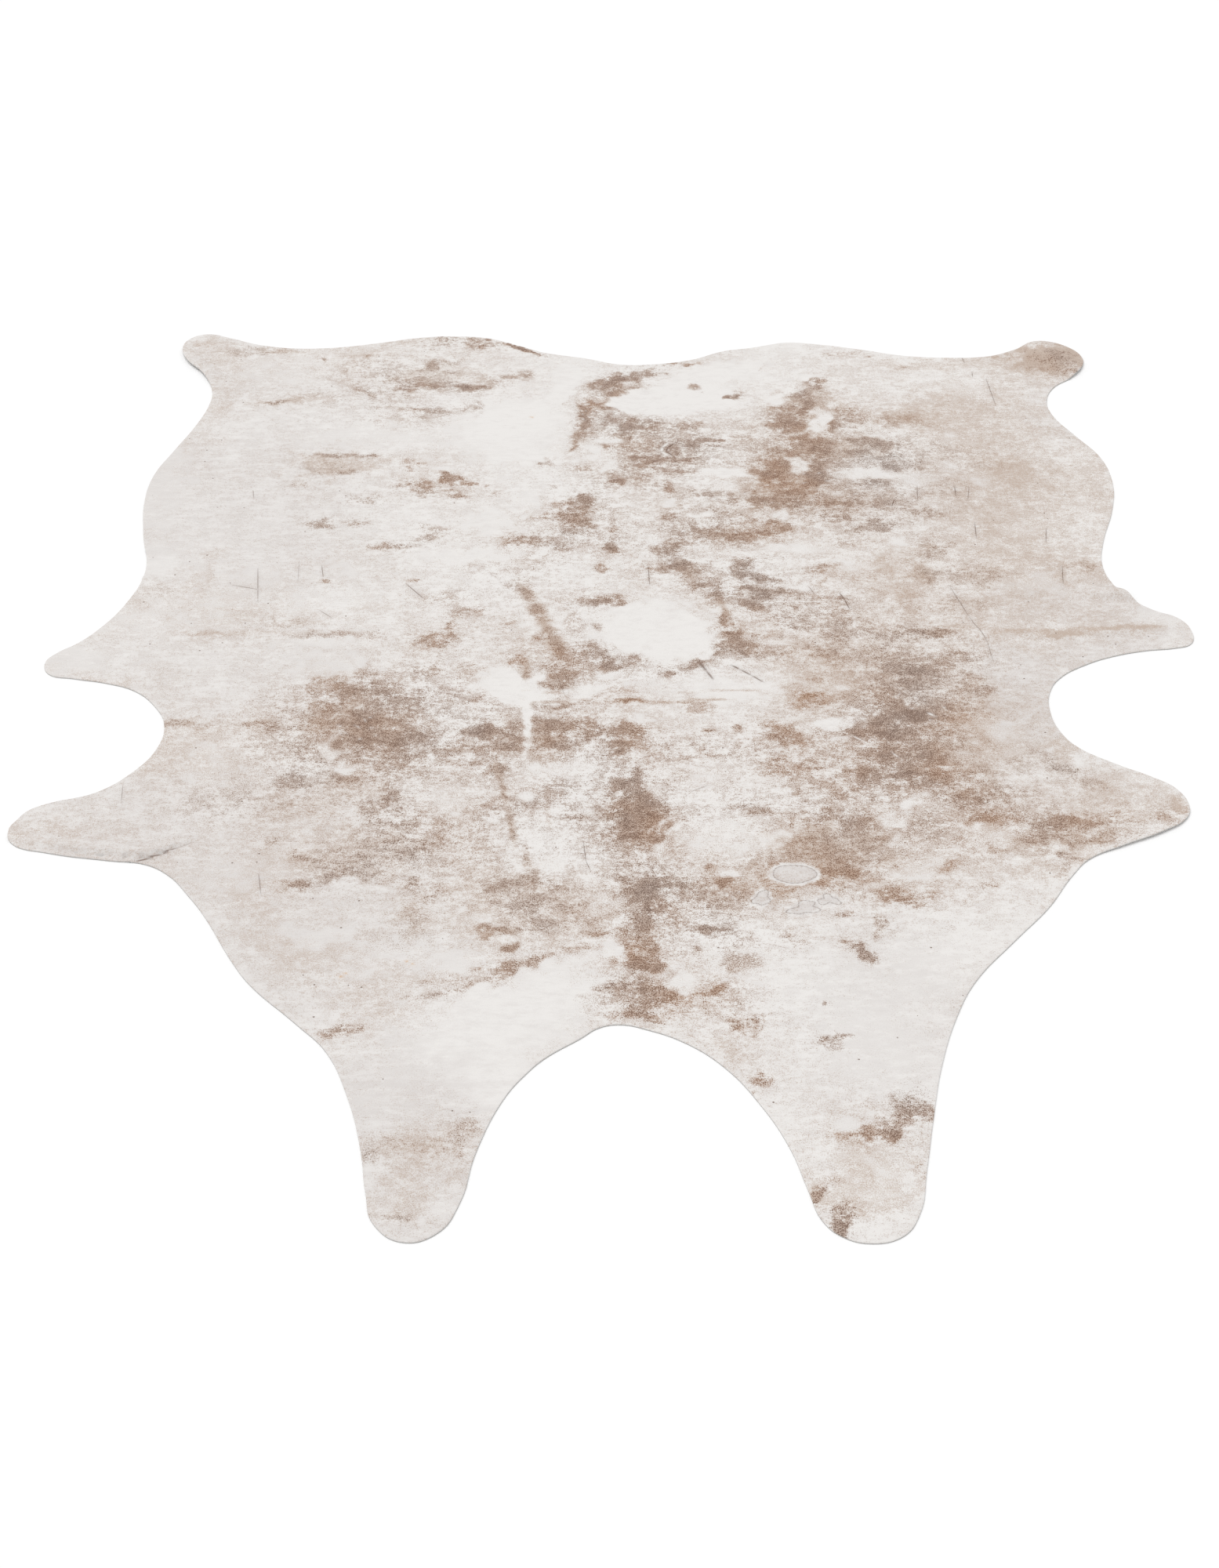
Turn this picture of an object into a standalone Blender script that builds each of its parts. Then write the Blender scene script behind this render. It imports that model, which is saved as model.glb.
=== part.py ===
"""Hide-shaped rug: one sheet of short-napped cloth, cut to the outline of a cow's skin.

Metres, +Z up. The origin is on the floor under the middle of the rug. +Y points to the neck end,
and +X to the right-hand side of someone who stands at the hind legs and looks along +Y.
"""
import math
from typing import NamedTuple

import bmesh
import bpy
import numpy as np
from mathutils import Vector
from mathutils.geometry import delaunay_2d_cdt

MM = 0.001

SHEET_THICKNESS = 3 * MM

# How finely the sheet is divided: where it lies flat, along a fold, and between two landmarks.
FLAT_PITCH = 75 * MM
FOLD_PITCH = 14 * MM
EDGE_STEPS = 4
# No point of the inside comes closer than this to the cut edge.
EDGE_MARGIN = 6 * MM
SAME_POINT = 0.01 * MM
SMOOTH_ANGLE = math.radians(40)
UPWARDS = 1.0

HIDE_COLOUR = (0.73, 0.69, 0.66, 1.0)
HIDE_ROUGHNESS = 0.9

# The cut edge, anticlockwise as seen from above: each stretch's landmarks are x, y in millimetres.
CUT_EDGE = {
    "notch between the legs": (
        (-110, -896), (-62, -856), (-36, -834), (-8, -828), (28, -838), (80, -865), (130, -912),
        (176, -986),
    ),
    "right leg": (
        (209, -1064), (228, -1140), (242, -1190), (264, -1216), (300, -1228), (340, -1216),
        (364, -1179), (380, -1105), (400, -1000),
    ),
    "right thigh": ((419, -912), (452, -808), (484, -740), (550, -652), (609, -577), (652, -506)),
    "right hind point": (
        (684, -466), (742, -434), (800, -404), (842, -371), (853, -338), (839, -292), (812, -267),
        (760, -232),
    ),
    "right bay": ((706, -186), (687, -150), (677, -90), (685, -34), (706, 4), (752, 42), (806, 69)),
    "right fore point": (
        (862, 85), (908, 92), (936, 104), (944, 143), (929, 181), (893, 205), (858, 243),
    ),
    "right waist": ((836, 290), (828, 350), (840, 420), (875, 538), (890, 628), (882, 725)),
    "right neck corner": (
        (848, 806), (816, 888), (814, 945), (835, 998), (880, 1044), (904, 1088), (906, 1126),
        (888, 1161), (852, 1182), (818, 1181), (778, 1154),
    ),
    "neck edge": (
        (726, 1127), (650, 1120), (560, 1128), (470, 1156), (380, 1179), (325, 1183), (262, 1163),
        (190, 1140), (140, 1112), (70, 1093), (0, 1091), (-70, 1117), (-150, 1141), (-200, 1165),
        (-262, 1193), (-325, 1204), (-405, 1203), (-480, 1183), (-560, 1164), (-650, 1160),
    ),
    "left neck corner": (
        (-720, 1176), (-780, 1205), (-825, 1221), (-855, 1206), (-867, 1168), (-856, 1114),
        (-811, 1046), (-787, 980), (-786, 930),
    ),
    "left waist": ((-800, 850), (-828, 752), (-853, 660), (-857, 570), (-842, 450), (-821, 330)),
    "left fore point": (
        (-839, 225), (-873, 145), (-900, 105), (-929, 76), (-943, 50), (-931, 15), (-890, 3),
        (-832, -11),
    ),
    "left bay": ((-786, -32), (-748, -74), (-725, -125), (-727, -190), (-755, -252), (-804, -305)),
    "left hind point": (
        (-872, -333), (-898, -350), (-911, -373), (-919, -397), (-908, -430), (-852, -452),
        (-760, -470), (-702, -480),
    ),
    "left thigh": (
        (-664, -507), (-632, -550), (-604, -594), (-548, -702), (-521, -745), (-448, -827),
        (-404, -880), (-368, -965),
    ),
    "left leg": (
        (-342, -1065), (-329, -1145), (-316, -1195), (-277, -1226), (-236, -1211), (-211, -1162),
        (-194, -1072), (-160, -970), (-134, -926),
    ),
}


class Fold(NamedTuple):
    """A crest line, rows of x, y and height, with how far the cloth falls away on each side."""

    crest: tuple
    left: float
    right: float


# All in millimetres. Left and right are those of someone who walks along the crest.
FOLDS = {
    "rolled lower edge of the left hind point": Fold(
        ((-895, -428, 3), (-800, -450, 6), (-712, -464, 10), (-684, -456, 9), (-645, -420, 0)),
        left=48, right=15,
    ),
    "rolled ridge into the right fore point": Fold(
        ((868, 246, 9), (838, 252, 11), (800, 256, 6), (752, 257, 0)), left=22, right=30,
    ),
    "soft fold along the right fore point": Fold(
        ((905, 158, 2), (820, 150, 5), (700, 136, 4), (520, 138, 3), (430, 140, 0)),
        left=34, right=26,
    ),
    "raised tip of the right neck corner": Fold(
        ((812, 1200, 3), (842, 1128, 9), (880, 1062, 5), (905, 1030, 3)), left=70, right=46,
    ),
    "lifted edge of the left neck corner": Fold(
        ((-874, 1165, 3), (-846, 1100, 6), (-800, 1040, 4), (-784, 990, 0)), left=42, right=30,
    ),
    "lifted lower edge of the right hind point": Fold(
        ((690, -470, 1), (745, -438, 5), (810, -402, 6), (856, -362, 2)), left=34, right=20,
    ),
    "left hump of the neck edge": Fold(
        ((-410, 1222, 1), (-320, 1226, 6), (-240, 1204, 6), (-150, 1152, 0)), left=20, right=55,
    ),
    "right hump of the neck edge": Fold(
        ((160, 1140, 0), (205, 1158, 4), (300, 1196, 4), (390, 1194, 0)), left=42, right=20,
    ),
    "upper crease of the left waist": Fold(
        ((-840, 396, 3), (-815, 396, 2), (-790, 396, 0)), left=9, right=9,
    ),
    "lower crease of the left waist": Fold(
        ((-832, 306, 3), (-800, 307, 2), (-765, 308, 0)), left=9, right=9,
    ),
    "faint fold in the left side": Fold(
        ((-800, 470, 0), (-755, 530, 2), (-700, 590, 2), (-640, 625, 0)), left=34, right=34,
    ),
}

# How far across a fold its rows of points lie, as shares of the fall on that side.
ROWS_ACROSS = (-1.0, -0.5, 0.0, 0.5, 1.0)


def clear_scene():
    """Leave nothing of the start-up scene."""
    for item in list(bpy.data.objects):
        bpy.data.objects.remove(item, do_unlink=True)


def cut_edge_points():
    """The cut edge as Blender's own smooth spline draws it through the landmarks."""
    landmarks = [point for stretch in CUT_EDGE.values() for point in stretch]
    curve = bpy.data.curves.new("cut_edge", "CURVE")
    curve.dimensions = "2D"
    curve.fill_mode = "NONE"
    curve.resolution_u = EDGE_STEPS
    spline = curve.splines.new("BEZIER")
    spline.bezier_points.add(len(landmarks) - 1)
    spline.use_cyclic_u = True
    for knot, (x, y) in zip(spline.bezier_points, landmarks):
        knot.co = (x * MM, y * MM, 0)
        knot.handle_left_type = "AUTO"
        knot.handle_right_type = "AUTO"
    guide = bpy.data.objects.new("cut_edge", curve)
    bpy.context.scene.collection.objects.link(guide)
    bpy.context.view_layer.update()
    line = bpy.data.meshes.new_from_object(guide.evaluated_get(bpy.context.evaluated_depsgraph_get()))
    points = np.array([vertex.co.xy for vertex in line.vertices])
    bpy.data.objects.remove(guide, do_unlink=True)
    bpy.data.curves.remove(curve)
    bpy.data.meshes.remove(line)
    return points


def centred(points):
    """How far the cut edge's box must move for its middle to be the origin."""
    return -(points.min(axis=0) + points.max(axis=0)) / 2


def distance_to_line(points, line):
    """The distance from each point to a closed line."""
    nearest = np.full(len(points), np.inf)
    for start, end in zip(line, np.roll(line, -1, axis=0)):
        run = end - start
        share = np.clip((points - start) @ run / (run @ run), 0, 1)
        gap = np.linalg.norm(points - start - share[:, None] * run, axis=1)
        nearest = np.minimum(nearest, gap)
    return nearest


def is_inside(points, line):
    """Whether each point is inside a closed line, by counting crossings to its right."""
    inside = np.zeros(len(points), bool)
    x, y = points.T
    for (x0, y0), (x1, y1) in zip(line, np.roll(line, -1, axis=0)):
        if y0 == y1:
            continue
        spans = (y0 > y) != (y1 > y)
        inside ^= spans & (x < x0 + (y - y0) * (x1 - x0) / (y1 - y0))
    return inside


def fold_height(points, fold):
    """One fold's height at each point: full on the crest, and nothing past its fall."""
    height = np.zeros(len(points))
    crest = np.array(fold.crest) * MM
    for start, end in zip(crest, crest[1:]):
        run = (end - start)[:2]
        share = np.clip((points - start[:2]) @ run / (run @ run), 0, 1)
        away = points - start[:2] - share[:, None] * run
        is_left = run[0] * away[:, 1] - run[1] * away[:, 0] > 0
        fall = np.where(is_left, fold.left, fold.right) * MM
        slope = np.clip(np.linalg.norm(away, axis=1) / fall, 0, 1)
        crest_height = start[2] + share * (end - start)[2]
        height = np.maximum(height, crest_height * (1 + np.cos(slope * math.pi)) / 2)
    return height


def lift(points):
    """How far the sheet's underside is off the floor at each point."""
    return np.max([fold_height(points, fold) for fold in FOLDS.values()], axis=0)


def points_on_fold(fold):
    """Rows of points along a fold, so that the faces follow its crest and its falls."""
    rows = []
    crest = np.array(fold.crest)[:, :2] * MM
    for start, end in zip(crest, crest[1:]):
        run = end - start
        length = np.linalg.norm(run)
        leftward = np.array((-run[1], run[0])) / length
        steps = max(1, round(length / FOLD_PITCH))
        for share in (np.arange(steps) + 0.5) / steps:
            for across in ROWS_ACROSS:
                fall = fold.left if across > 0 else fold.right
                rows.append(start + share * run + leftward * across * fall * MM)
    return np.array(rows)


def flat_points(edge):
    """An even staggered grid over the whole hide."""
    low = edge.min(axis=0)
    high = edge.max(axis=0)
    row_pitch = FLAT_PITCH * math.sqrt(3) / 2
    rows = np.arange(low[1], high[1], row_pitch)
    columns = np.arange(low[0], high[0], FLAT_PITCH)
    return np.array([
        (x + FLAT_PITCH / 2 * (number % 2), y) for number, y in enumerate(rows) for x in columns
    ])


def thinned(points, spacing):
    """The points in their order, without those too close to one that is kept."""
    kept = []
    for point in points:
        if not kept or np.min(np.linalg.norm(np.array(kept) - point, axis=1)) >= spacing:
            kept.append(point)
    return np.array(kept)


def inner_points(edge):
    """The points inside the cut edge: close together at the folds, far apart where it is flat."""
    on_folds = np.vstack([points_on_fold(fold) for fold in FOLDS.values()])
    on_folds = thinned(on_folds, FOLD_PITCH / 2)
    on_folds = on_folds[is_inside(on_folds, edge) & (distance_to_line(on_folds, edge) > EDGE_MARGIN)]
    grid = flat_points(edge)
    grid = grid[is_inside(grid, edge) & (distance_to_line(grid, edge) > FLAT_PITCH / 3)]
    gaps = np.linalg.norm(grid[:, None] - on_folds[None], axis=2).min(axis=1)
    return np.vstack([on_folds, grid[gaps > FLAT_PITCH / 2]])


def hide_material():
    """Short, dull nap: an off-white with a little brown in it."""
    material = bpy.data.materials.new("printed_nap")
    material.use_nodes = True
    shader = material.node_tree.nodes["Principled BSDF"]
    shader.inputs["Base Color"].default_value = HIDE_COLOUR
    shader.inputs["Roughness"].default_value = HIDE_ROUGHNESS
    shader.inputs["Metallic"].default_value = 0.0
    return material


def hide_sheet():
    """The underside as an open surface, which Solidify thickens upwards."""
    edge = cut_edge_points()
    points = np.vstack([edge, inner_points(edge)])
    flat = [Vector(point) for point in points]
    outline_face = [list(range(len(edge)))]
    placed, _, faces, *_ = delaunay_2d_cdt(flat, [], outline_face, 1, SAME_POINT)
    placed = np.array([tuple(point) for point in placed])
    heights = lift(placed)
    placed = placed + centred(edge)
    mesh = bpy.data.meshes.new("hide")
    cage = bmesh.new()
    corners = [cage.verts.new((x, y, z)) for (x, y), z in zip(placed, heights)]
    for face in faces:
        cage.faces.new([corners[index] for index in face])
    cage.to_mesh(mesh)
    cage.free()
    hide = bpy.data.objects.new("hide", mesh)
    thicken = hide.modifiers.new("thickness", "SOLIDIFY")
    thicken.thickness = SHEET_THICKNESS
    thicken.offset = UPWARDS
    return hide


def main():
    """Build the rug in a collection of its own."""
    clear_scene()
    collection = bpy.data.collections.new("cowhide_rug")
    bpy.context.scene.collection.children.link(collection)
    hide = hide_sheet()
    collection.objects.link(hide)
    hide.data.materials.append(hide_material())
    hide.data.shade_smooth()
    hide.data.set_sharp_from_angle(angle=SMOOTH_ANGLE)


main()
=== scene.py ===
"""The looks of a hide-shaped rug: a flat sheet of short nap, printed as a faded brindle cow skin.

Lengths are in metres, but the tables of folds, ovals and lines are in millimetres. +Y points to the
neck end of the hide.
"""

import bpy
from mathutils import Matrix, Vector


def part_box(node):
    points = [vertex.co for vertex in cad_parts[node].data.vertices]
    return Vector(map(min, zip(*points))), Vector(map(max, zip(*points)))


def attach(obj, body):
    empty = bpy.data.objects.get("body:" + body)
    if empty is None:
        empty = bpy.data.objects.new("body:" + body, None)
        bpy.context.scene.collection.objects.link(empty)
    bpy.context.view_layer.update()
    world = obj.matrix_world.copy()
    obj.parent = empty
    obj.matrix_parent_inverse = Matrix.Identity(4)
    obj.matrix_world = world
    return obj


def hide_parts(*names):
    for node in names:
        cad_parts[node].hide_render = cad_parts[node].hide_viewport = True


bl_info = {
    "name": "Printed Hide Rug",
    "version": (1, 0, 0),
    "blender": (4, 5, 0),
    "location": "3D View > Sidebar > Hide Rug",
    "description": "Builds a flat hide-shaped rug with a speckled brindle print",
    "category": "Object",
}

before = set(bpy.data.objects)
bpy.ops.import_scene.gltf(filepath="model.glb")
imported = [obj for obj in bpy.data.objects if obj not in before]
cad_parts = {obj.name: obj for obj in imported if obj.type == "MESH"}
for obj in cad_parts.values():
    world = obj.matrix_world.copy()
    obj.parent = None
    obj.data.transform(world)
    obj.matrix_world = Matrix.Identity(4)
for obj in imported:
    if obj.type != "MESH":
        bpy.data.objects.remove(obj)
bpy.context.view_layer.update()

import math
from typing import NamedTuple

import bpy
import numpy as np
from bpy.props import FloatProperty, PointerProperty, StringProperty
from mathutils import Vector, kdtree
from mathutils.geometry import delaunay_2d_cdt

MM = 0.001
HIDE_NODE = "hide"
BODY = "root"
BOX_LOW, BOX_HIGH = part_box(HIDE_NODE)


class Fold(NamedTuple):
    """A crest line, rows of x, y and height in millimetres, and the fall of the cloth on each side."""

    crest: tuple
    left: float
    right: float


# The folds of the CAD sheet. Two are shaped more finely here: the left hind point falls away in 5 mm
# below its crest, where the CAD takes 15 mm, and the right hind point lifts by 3.5 mm instead of 6 mm.
FOLDS = {
    "rolled lower edge of the left hind point": Fold(
        ((-895, -428, 3), (-800, -450, 6), (-722, -462, 9), (-698, -458, 8), (-676, -446, 6),
         (-655, -430, 3), (-625, -412, 0)),
        left=44, right=5,
    ),
    "rolled ridge into the right fore point": Fold(
        ((868, 246, 9), (838, 252, 11), (800, 256, 6), (752, 257, 0)), left=22, right=30,
    ),
    "soft fold along the right fore point": Fold(
        ((905, 158, 2), (820, 150, 5), (700, 136, 4), (520, 138, 3), (430, 140, 0)),
        left=34, right=26,
    ),
    "raised tip of the right neck corner": Fold(
        ((812, 1200, 3), (842, 1128, 9), (880, 1062, 5), (905, 1030, 3)), left=70, right=46,
    ),
    "lifted edge of the left neck corner": Fold(
        ((-874, 1165, 3), (-846, 1100, 6), (-800, 1040, 4), (-784, 990, 0)), left=42, right=30,
    ),
    "lifted lower edge of the right hind point": Fold(
        ((690, -470, 0.6), (745, -438, 3), (810, -402, 3.5), (856, -362, 1.4)), left=34, right=20,
    ),
    "left hump of the neck edge": Fold(
        ((-410, 1222, 1), (-320, 1226, 6), (-240, 1204, 6), (-150, 1152, 0)), left=20, right=55,
    ),
    "right hump of the neck edge": Fold(
        ((160, 1140, 0), (205, 1158, 4), (300, 1196, 4), (390, 1194, 0)), left=42, right=20,
    ),
    "upper crease of the left waist": Fold(
        ((-840, 396, 3), (-815, 396, 2), (-790, 396, 0)), left=9, right=9,
    ),
    "lower crease of the left waist": Fold(
        ((-832, 306, 3), (-800, 307, 2), (-765, 308, 0)), left=9, right=9,
    ),
    "faint fold in the left side": Fold(
        ((-800, 470, 0), (-755, 530, 2), (-700, 590, 2), (-640, 625, 0)), left=34, right=34,
    ),
}

# A CAD face whose normal points down more steeply than this belongs to the underside.
UNDERSIDE = -0.7

# A fold whose cloth falls away in less than this, in millimetres, is a sharp crease.
SHARP = 8

# The CAD sheet was moved by this much, with its folds, to stand over the origin.
CENTRING = np.array((-0.3, 3.5)) * MM

# Where the rim of the sheet runs, from the floor to the top of the nap: millimetres inwards and up.
# Its lowest rows of faces, as many as BACK_ROWS says, are cut backing. The rest is nap.
RIM_PROFILE = ((0.0, 0.0), (0.0, 1.3), (-0.3, 1.7), (0.0, 2.4), (0.5, 2.8), (1.4, 3.0))
BACK_ROWS = 1

# How much of a patch's cover spreads around it as a thin wash.
HALO = 0.14


class Patch(NamedTuple):
    """One soft oval of the print, in millimetres; a cover of 1 is full, and turn is in degrees."""

    x: float
    y: float
    long: float
    wide: float
    cover: float
    turn: float = 0


# The brown print: rows of x, y, length, width, cover and turn, which is left out where it is 0.
BROWN = {
    "neck edge": (
        (-200, 1158, 105, 12, 1.0, -30), (-272, 1178, 52, 26, .6, 50), (-335, 1195, 22, 9, .5),
        (-503, 1127, 22, 13, .5, 90), (-585, 1117, 22, 6, .75, -55), (-163, 1126, 12, 10, .4),
        (130, 1094, 28, 11, .75, 10), (153, 1096, 13, 12, .7), (53, 1096, 26, 6, .6, 20),
        (67, 1078, 60, 10, .5, 20), (90, 1052, 13, 12, .65), (273, 1078, 42, 9, .4, 65),
        (420, 1138, 44, 14, .4, 10), (490, 1130, 15, 13, .45), (518, 1112, 16, 8, .4),
        (553, 1082, 9, 8, .5), (138, 1000, 15, 24, .85), (208, 962, 42, 18, 1.1, 20),
        (226, 980, 12, 20, .5),
    ),
    "left shoulder": (
        (-440, 1090, 46, 30, .34, 90), (-338, 1100, 60, 24, .44, 10), (-375, 1076, 56, 34, .48, 80),
        (-385, 1046, 70, 26, .36), (-395, 1016, 92, 46, .57), (-425, 1000, 56, 24, .52, 15),
        (-420, 986, 52, 18, .7, 15), (-293, 1001, 78, 18, 1.0, -6), (-318, 1010, 82, 14, .6),
        (-360, 1003, 60, 22, .75, 5), (-493, 984, 78, 22, .5, -42), (-413, 967, 44, 12, .42, -30),
        (-660, 943, 64, 14, .55, 6), (-600, 966, 56, 10, .42, 20), (-217, 1042, 42, 22, .52),
        (-187, 1050, 44, 26, .54, -45), (-363, 905, 98, 16, .66, -4), (-440, 917, 76, 10, .5),
        (-372, 880, 66, 28, .44, -8), (-270, 926, 42, 14, .56, 95), (-297, 912, 12, 14, .5),
        (-107, 933, 9, 9, .6), (-293, 868, 9, 9, .5), (-153, 707, 15, 11, .7), (-330, 1062, 40, 18, .4, 10),
    ),
    "left ribs": (
        (-520, 733, 152, 15, .62), (-470, 733, 44, 12, .66), (-556, 690, 110, 56, .3),
        (-505, 668, 40, 20, .55), (-380, 708, 42, 18, .46, -10), (-387, 690, 40, 12, .45, 90),
        (-313, 657, 44, 34, .86, -45), (-281, 632, 36, 20, .78, -20), (-380, 624, 62, 40, .53),
        (-357, 612, 52, 44, .60), (-293, 583, 40, 20, .62, -10), (-305, 606, 40, 12, .5),
        (-467, 573, 84, 30, .4), (-533, 487, 42, 36, .62), (-473, 492, 52, 24, .42),
        (-338, 447, 52, 22, .46, 10), (-247, 620, 12, 12, .5), (-232, 594, 14, 14, .42),
        (-127, 613, 22, 18, .4), (-587, 630, 44, 32, .34), (-420, 413, 62, 26, .58, -8),
        (-385, 415, 60, 24, .48), (-330, 470, 60, 30, .36),
    ),
    "top of the spine": (
        (8, 1036, 62, 50, 1.0), (-18, 1020, 62, 44, 1.0, 30), (48, 1056, 44, 28, .66, 20),
        (-52, 1002, 60, 26, .74, 25), (-15, 988, 52, 30, .82), (-62, 914, 84, 34, .82, 88),
        (-38, 940, 44, 30, .8, 40), (-30, 915, 50, 20, .74, -22), (-70, 868, 92, 34, .98, 86),
        (-77, 814, 54, 22, .66, 72), (-88, 772, 50, 14, .74, 80), (-20, 872, 52, 40, .7),
        (8, 846, 72, 52, .78, 60), (12, 824, 62, 46, .76), (-38, 820, 30, 12, .5, 90),
        (-29, 767, 27, 16, .78, 90), (2, 768, 44, 14, .6, 90), (22, 866, 84, 22, .5, -5),
        (50, 844, 122, 44, .66), (113, 840, 84, 46, .54, -10), (140, 848, 44, 20, .52, 90),
        (27, 772, 64, 38, .62, 60), (48, 780, 92, 46, .48), (80, 774, 44, 30, .8), (88, 744, 44, 24, .72),
        (137, 784, 44, 34, .9, 60), (164, 790, 56, 12, .9), (172, 768, 32, 9, .62),
        (46, 721, 74, 40, .84, -10), (107, 713, 64, 36, .82, 10), (140, 730, 22, 20, .5),
        (113, 674, 66, 12, .62, 8), (74, 680, 30, 18, .5, 90), (82, 662, 14, 11, .7), (0, 668, 62, 40, .36),
        (-14, 654, 52, 38, .53, 40), (-10, 632, 40, 36, .92, 60), (27, 660, 52, 34, .5, 90),
        (62, 627, 26, 11, .62, 70), (87, 618, 52, 20, .68, 80), (-73, 682, 54, 26, .48, 20),
        (-45, 650, 34, 18, .45), (-10, 972, 62, 26, 1.0),
    ),
    "right shoulder": (
        (375, 1000, 72, 36, .66, 62), (348, 970, 56, 40, .7, 40), (355, 942, 60, 48, .62, 60),
        (318, 922, 66, 34, .64, 10), (304, 884, 74, 40, .62), (313, 852, 92, 58, .84),
        (268, 852, 36, 22, .5), (397, 842, 62, 13, .84, 82), (357, 781, 60, 54, .82),
        (333, 801, 44, 22, .92), (368, 754, 44, 40, .96), (447, 788, 84, 26, .72), (478, 774, 92, 32, .78),
        (513, 784, 32, 18, .62), (433, 742, 92, 36, .64), (393, 766, 62, 46, .6), (340, 754, 64, 40, .62),
        (272, 721, 60, 46, .69, 80), (288, 694, 62, 50, .85), (245, 673, 44, 30, .92, 20),
        (272, 660, 62, 48, 1.05), (288, 640, 50, 36, .95, 80), (292, 748, 62, 30, .72),
        (353, 684, 82, 54, .98, 80), (360, 648, 62, 46, 1.05), (338, 628, 52, 28, .92),
        (373, 708, 42, 34, .7), (467, 634, 42, 28, .72), (438, 627, 62, 18, .6),
        (493, 694, 64, 22, .78, -22), (533, 687, 64, 18, .5, -5), (245, 601, 100, 20, .62),
        (267, 578, 118, 32, .84), (307, 594, 64, 36, .9), (300, 562, 62, 26, .78),
        (200, 611, 64, 18, .43, 5), (133, 608, 52, 14, .52), (152, 592, 22, 15, .72),
        (387, 561, 80, 24, .76), (420, 568, 64, 36, .72), (433, 592, 80, 18, .46, 5),
        (480, 563, 34, 28, .5), (197, 572, 60, 20, .62, 85), (340, 548, 80, 22, .34),
        (225, 800, 70, 60, .36),
    ),
    "upper back": (
        (80, 513, 44, 28, .62, 80), (127, 474, 64, 28, .74, -25), (173, 468, 64, 46, .72),
        (200, 448, 84, 34, .84), (247, 461, 74, 26, .78, 10), (272, 474, 64, 36, .72),
        (227, 492, 52, 36, .5), (207, 437, 64, 22, .82), (76, 408, 76, 60, .72, 70),
        (107, 347, 66, 32, .94, 10), (67, 341, 42, 32, .82), (124, 334, 36, 22, .74),
        (92, 372, 54, 26, .5, 80), (200, 348, 50, 32, .74, 80), (215, 318, 64, 32, .8, -15),
        (247, 310, 54, 20, .88, -15), (225, 274, 66, 22, .94, -8), (254, 263, 64, 24, .94, 5),
        (133, 287, 64, 30, .64, -12), (156, 266, 44, 22, .88, 80), (161, 247, 24, 14, .88, 90),
        (212, 223, 66, 28, .82, -15), (196, 240, 36, 10, .6), (340, 338, 64, 38, .52, 10),
        (380, 507, 54, 50, .5), (433, 474, 84, 36, .56), (453, 494, 84, 28, .5), (520, 320, 60, 44, .46),
        (250, 370, 64, 12, .3, 60), (120, 310, 40, 20, .39), (-150, 425, 80, 40, .45),
        (205, 480, 60, 40, .5),
    ),
    "middle of the spine": (
        (-80, 573, 72, 44, .8, 30), (-67, 541, 62, 48, .74, 60), (-107, 527, 64, 26, .76, 10),
        (-145, 511, 36, 9, .62, 10), (-86, 500, 72, 50, .9), (-82, 460, 64, 30, .56),
        (-167, 442, 112, 22, .6), (-167, 428, 104, 22, .66), (-20, 473, 52, 20, .62, 85),
        (-107, 402, 44, 28, .38), (-83, 414, 42, 28, .45, 80), (-21, 411, 36, 28, .92, 90),
        (-33, 341, 40, 30, .6, 80), (-27, 247, 54, 28, .82), (-47, 233, 62, 22, .76, 5),
        (-6, 228, 22, 20, .86), (-67, 240, 34, 10, .42), (-120, 132, 50, 34, .4, -30),
        (-104, 92, 62, 20, .72, -75), (-141, 120, 34, 22, .7), (-54, 84, 84, 40, .6),
        (-42, 68, 62, 28, .72, 10), (-26, 47, 36, 28, .98, 60), (-107, 47, 84, 54, .6),
        (-100, 13, 64, 56, .72, 60), (-93, -12, 62, 28, .82, 85), (-114, -20, 62, 18, .8, -15),
        (-177, 61, 42, 28, .66, 80), (-160, 13, 52, 11, .62, 85), (-307, 124, 76, 44, .52),
        (-320, 104, 74, 30, .64), (-287, 148, 52, 18, .62, 80), (-187, 168, 32, 20, .46),
        (-40, 160, 34, 20, .56, -20), (-260, 206, 66, 44, .4, 10), (-153, 337, 8, 8, .6),
        (-507, 299, 18, 10, .62), (-357, 303, 24, 9, .62), (17, 60, 17, 13, .9), (13, 46, 8, 10, .9),
        (6, -60, 60, 12, .95), (-4, -28, 54, 36, .4), (170, 182, 52, 13, .82, 85),
        (182, 128, 62, 44, 1.05, 80), (188, 94, 64, 36, .92), (200, 80, 44, 14, .9),
        (153, 78, 36, 10, .84, 35), (127, 57, 34, 18, .84, 40), (106, 33, 46, 14, .78, 38),
        (74, 20, 32, 20, .82), (66, 42, 54, 26, .38, 10), (253, 80, 96, 15, .56), (220, 132, 44, 15, .48),
        (553, 68, 60, 40, .5),
    ),
    "right side": (
        (300, 208, 66, 56, .46), (360, 178, 74, 56, .5, 80), (353, 134, 84, 56, .46),
        (420, 148, 64, 36, .46), (480, 133, 84, 28, .66), (524, 137, 50, 24, .84), (447, 140, 44, 18, .5),
        (340, 66, 106, 36, .44), (447, 54, 84, 46, .56), (473, 28, 84, 56, .9), (420, 14, 64, 36, .62),
        (447, 40, 64, 28, .7), (513, 47, 64, 36, .5), (487, -13, 74, 50, .62), (553, 13, 84, 58, .46),
        (566, -34, 64, 50, .5), (413, -27, 74, 36, .66), (407, -48, 64, 28, .62),
        (473, -101, 124, 54, 1.05), (440, -94, 94, 48, .92), (393, -126, 84, 38, .96, 10),
        (420, -147, 94, 46, 1.05), (373, -147, 64, 28, .92), (487, -80, 64, 38, .92),
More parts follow.
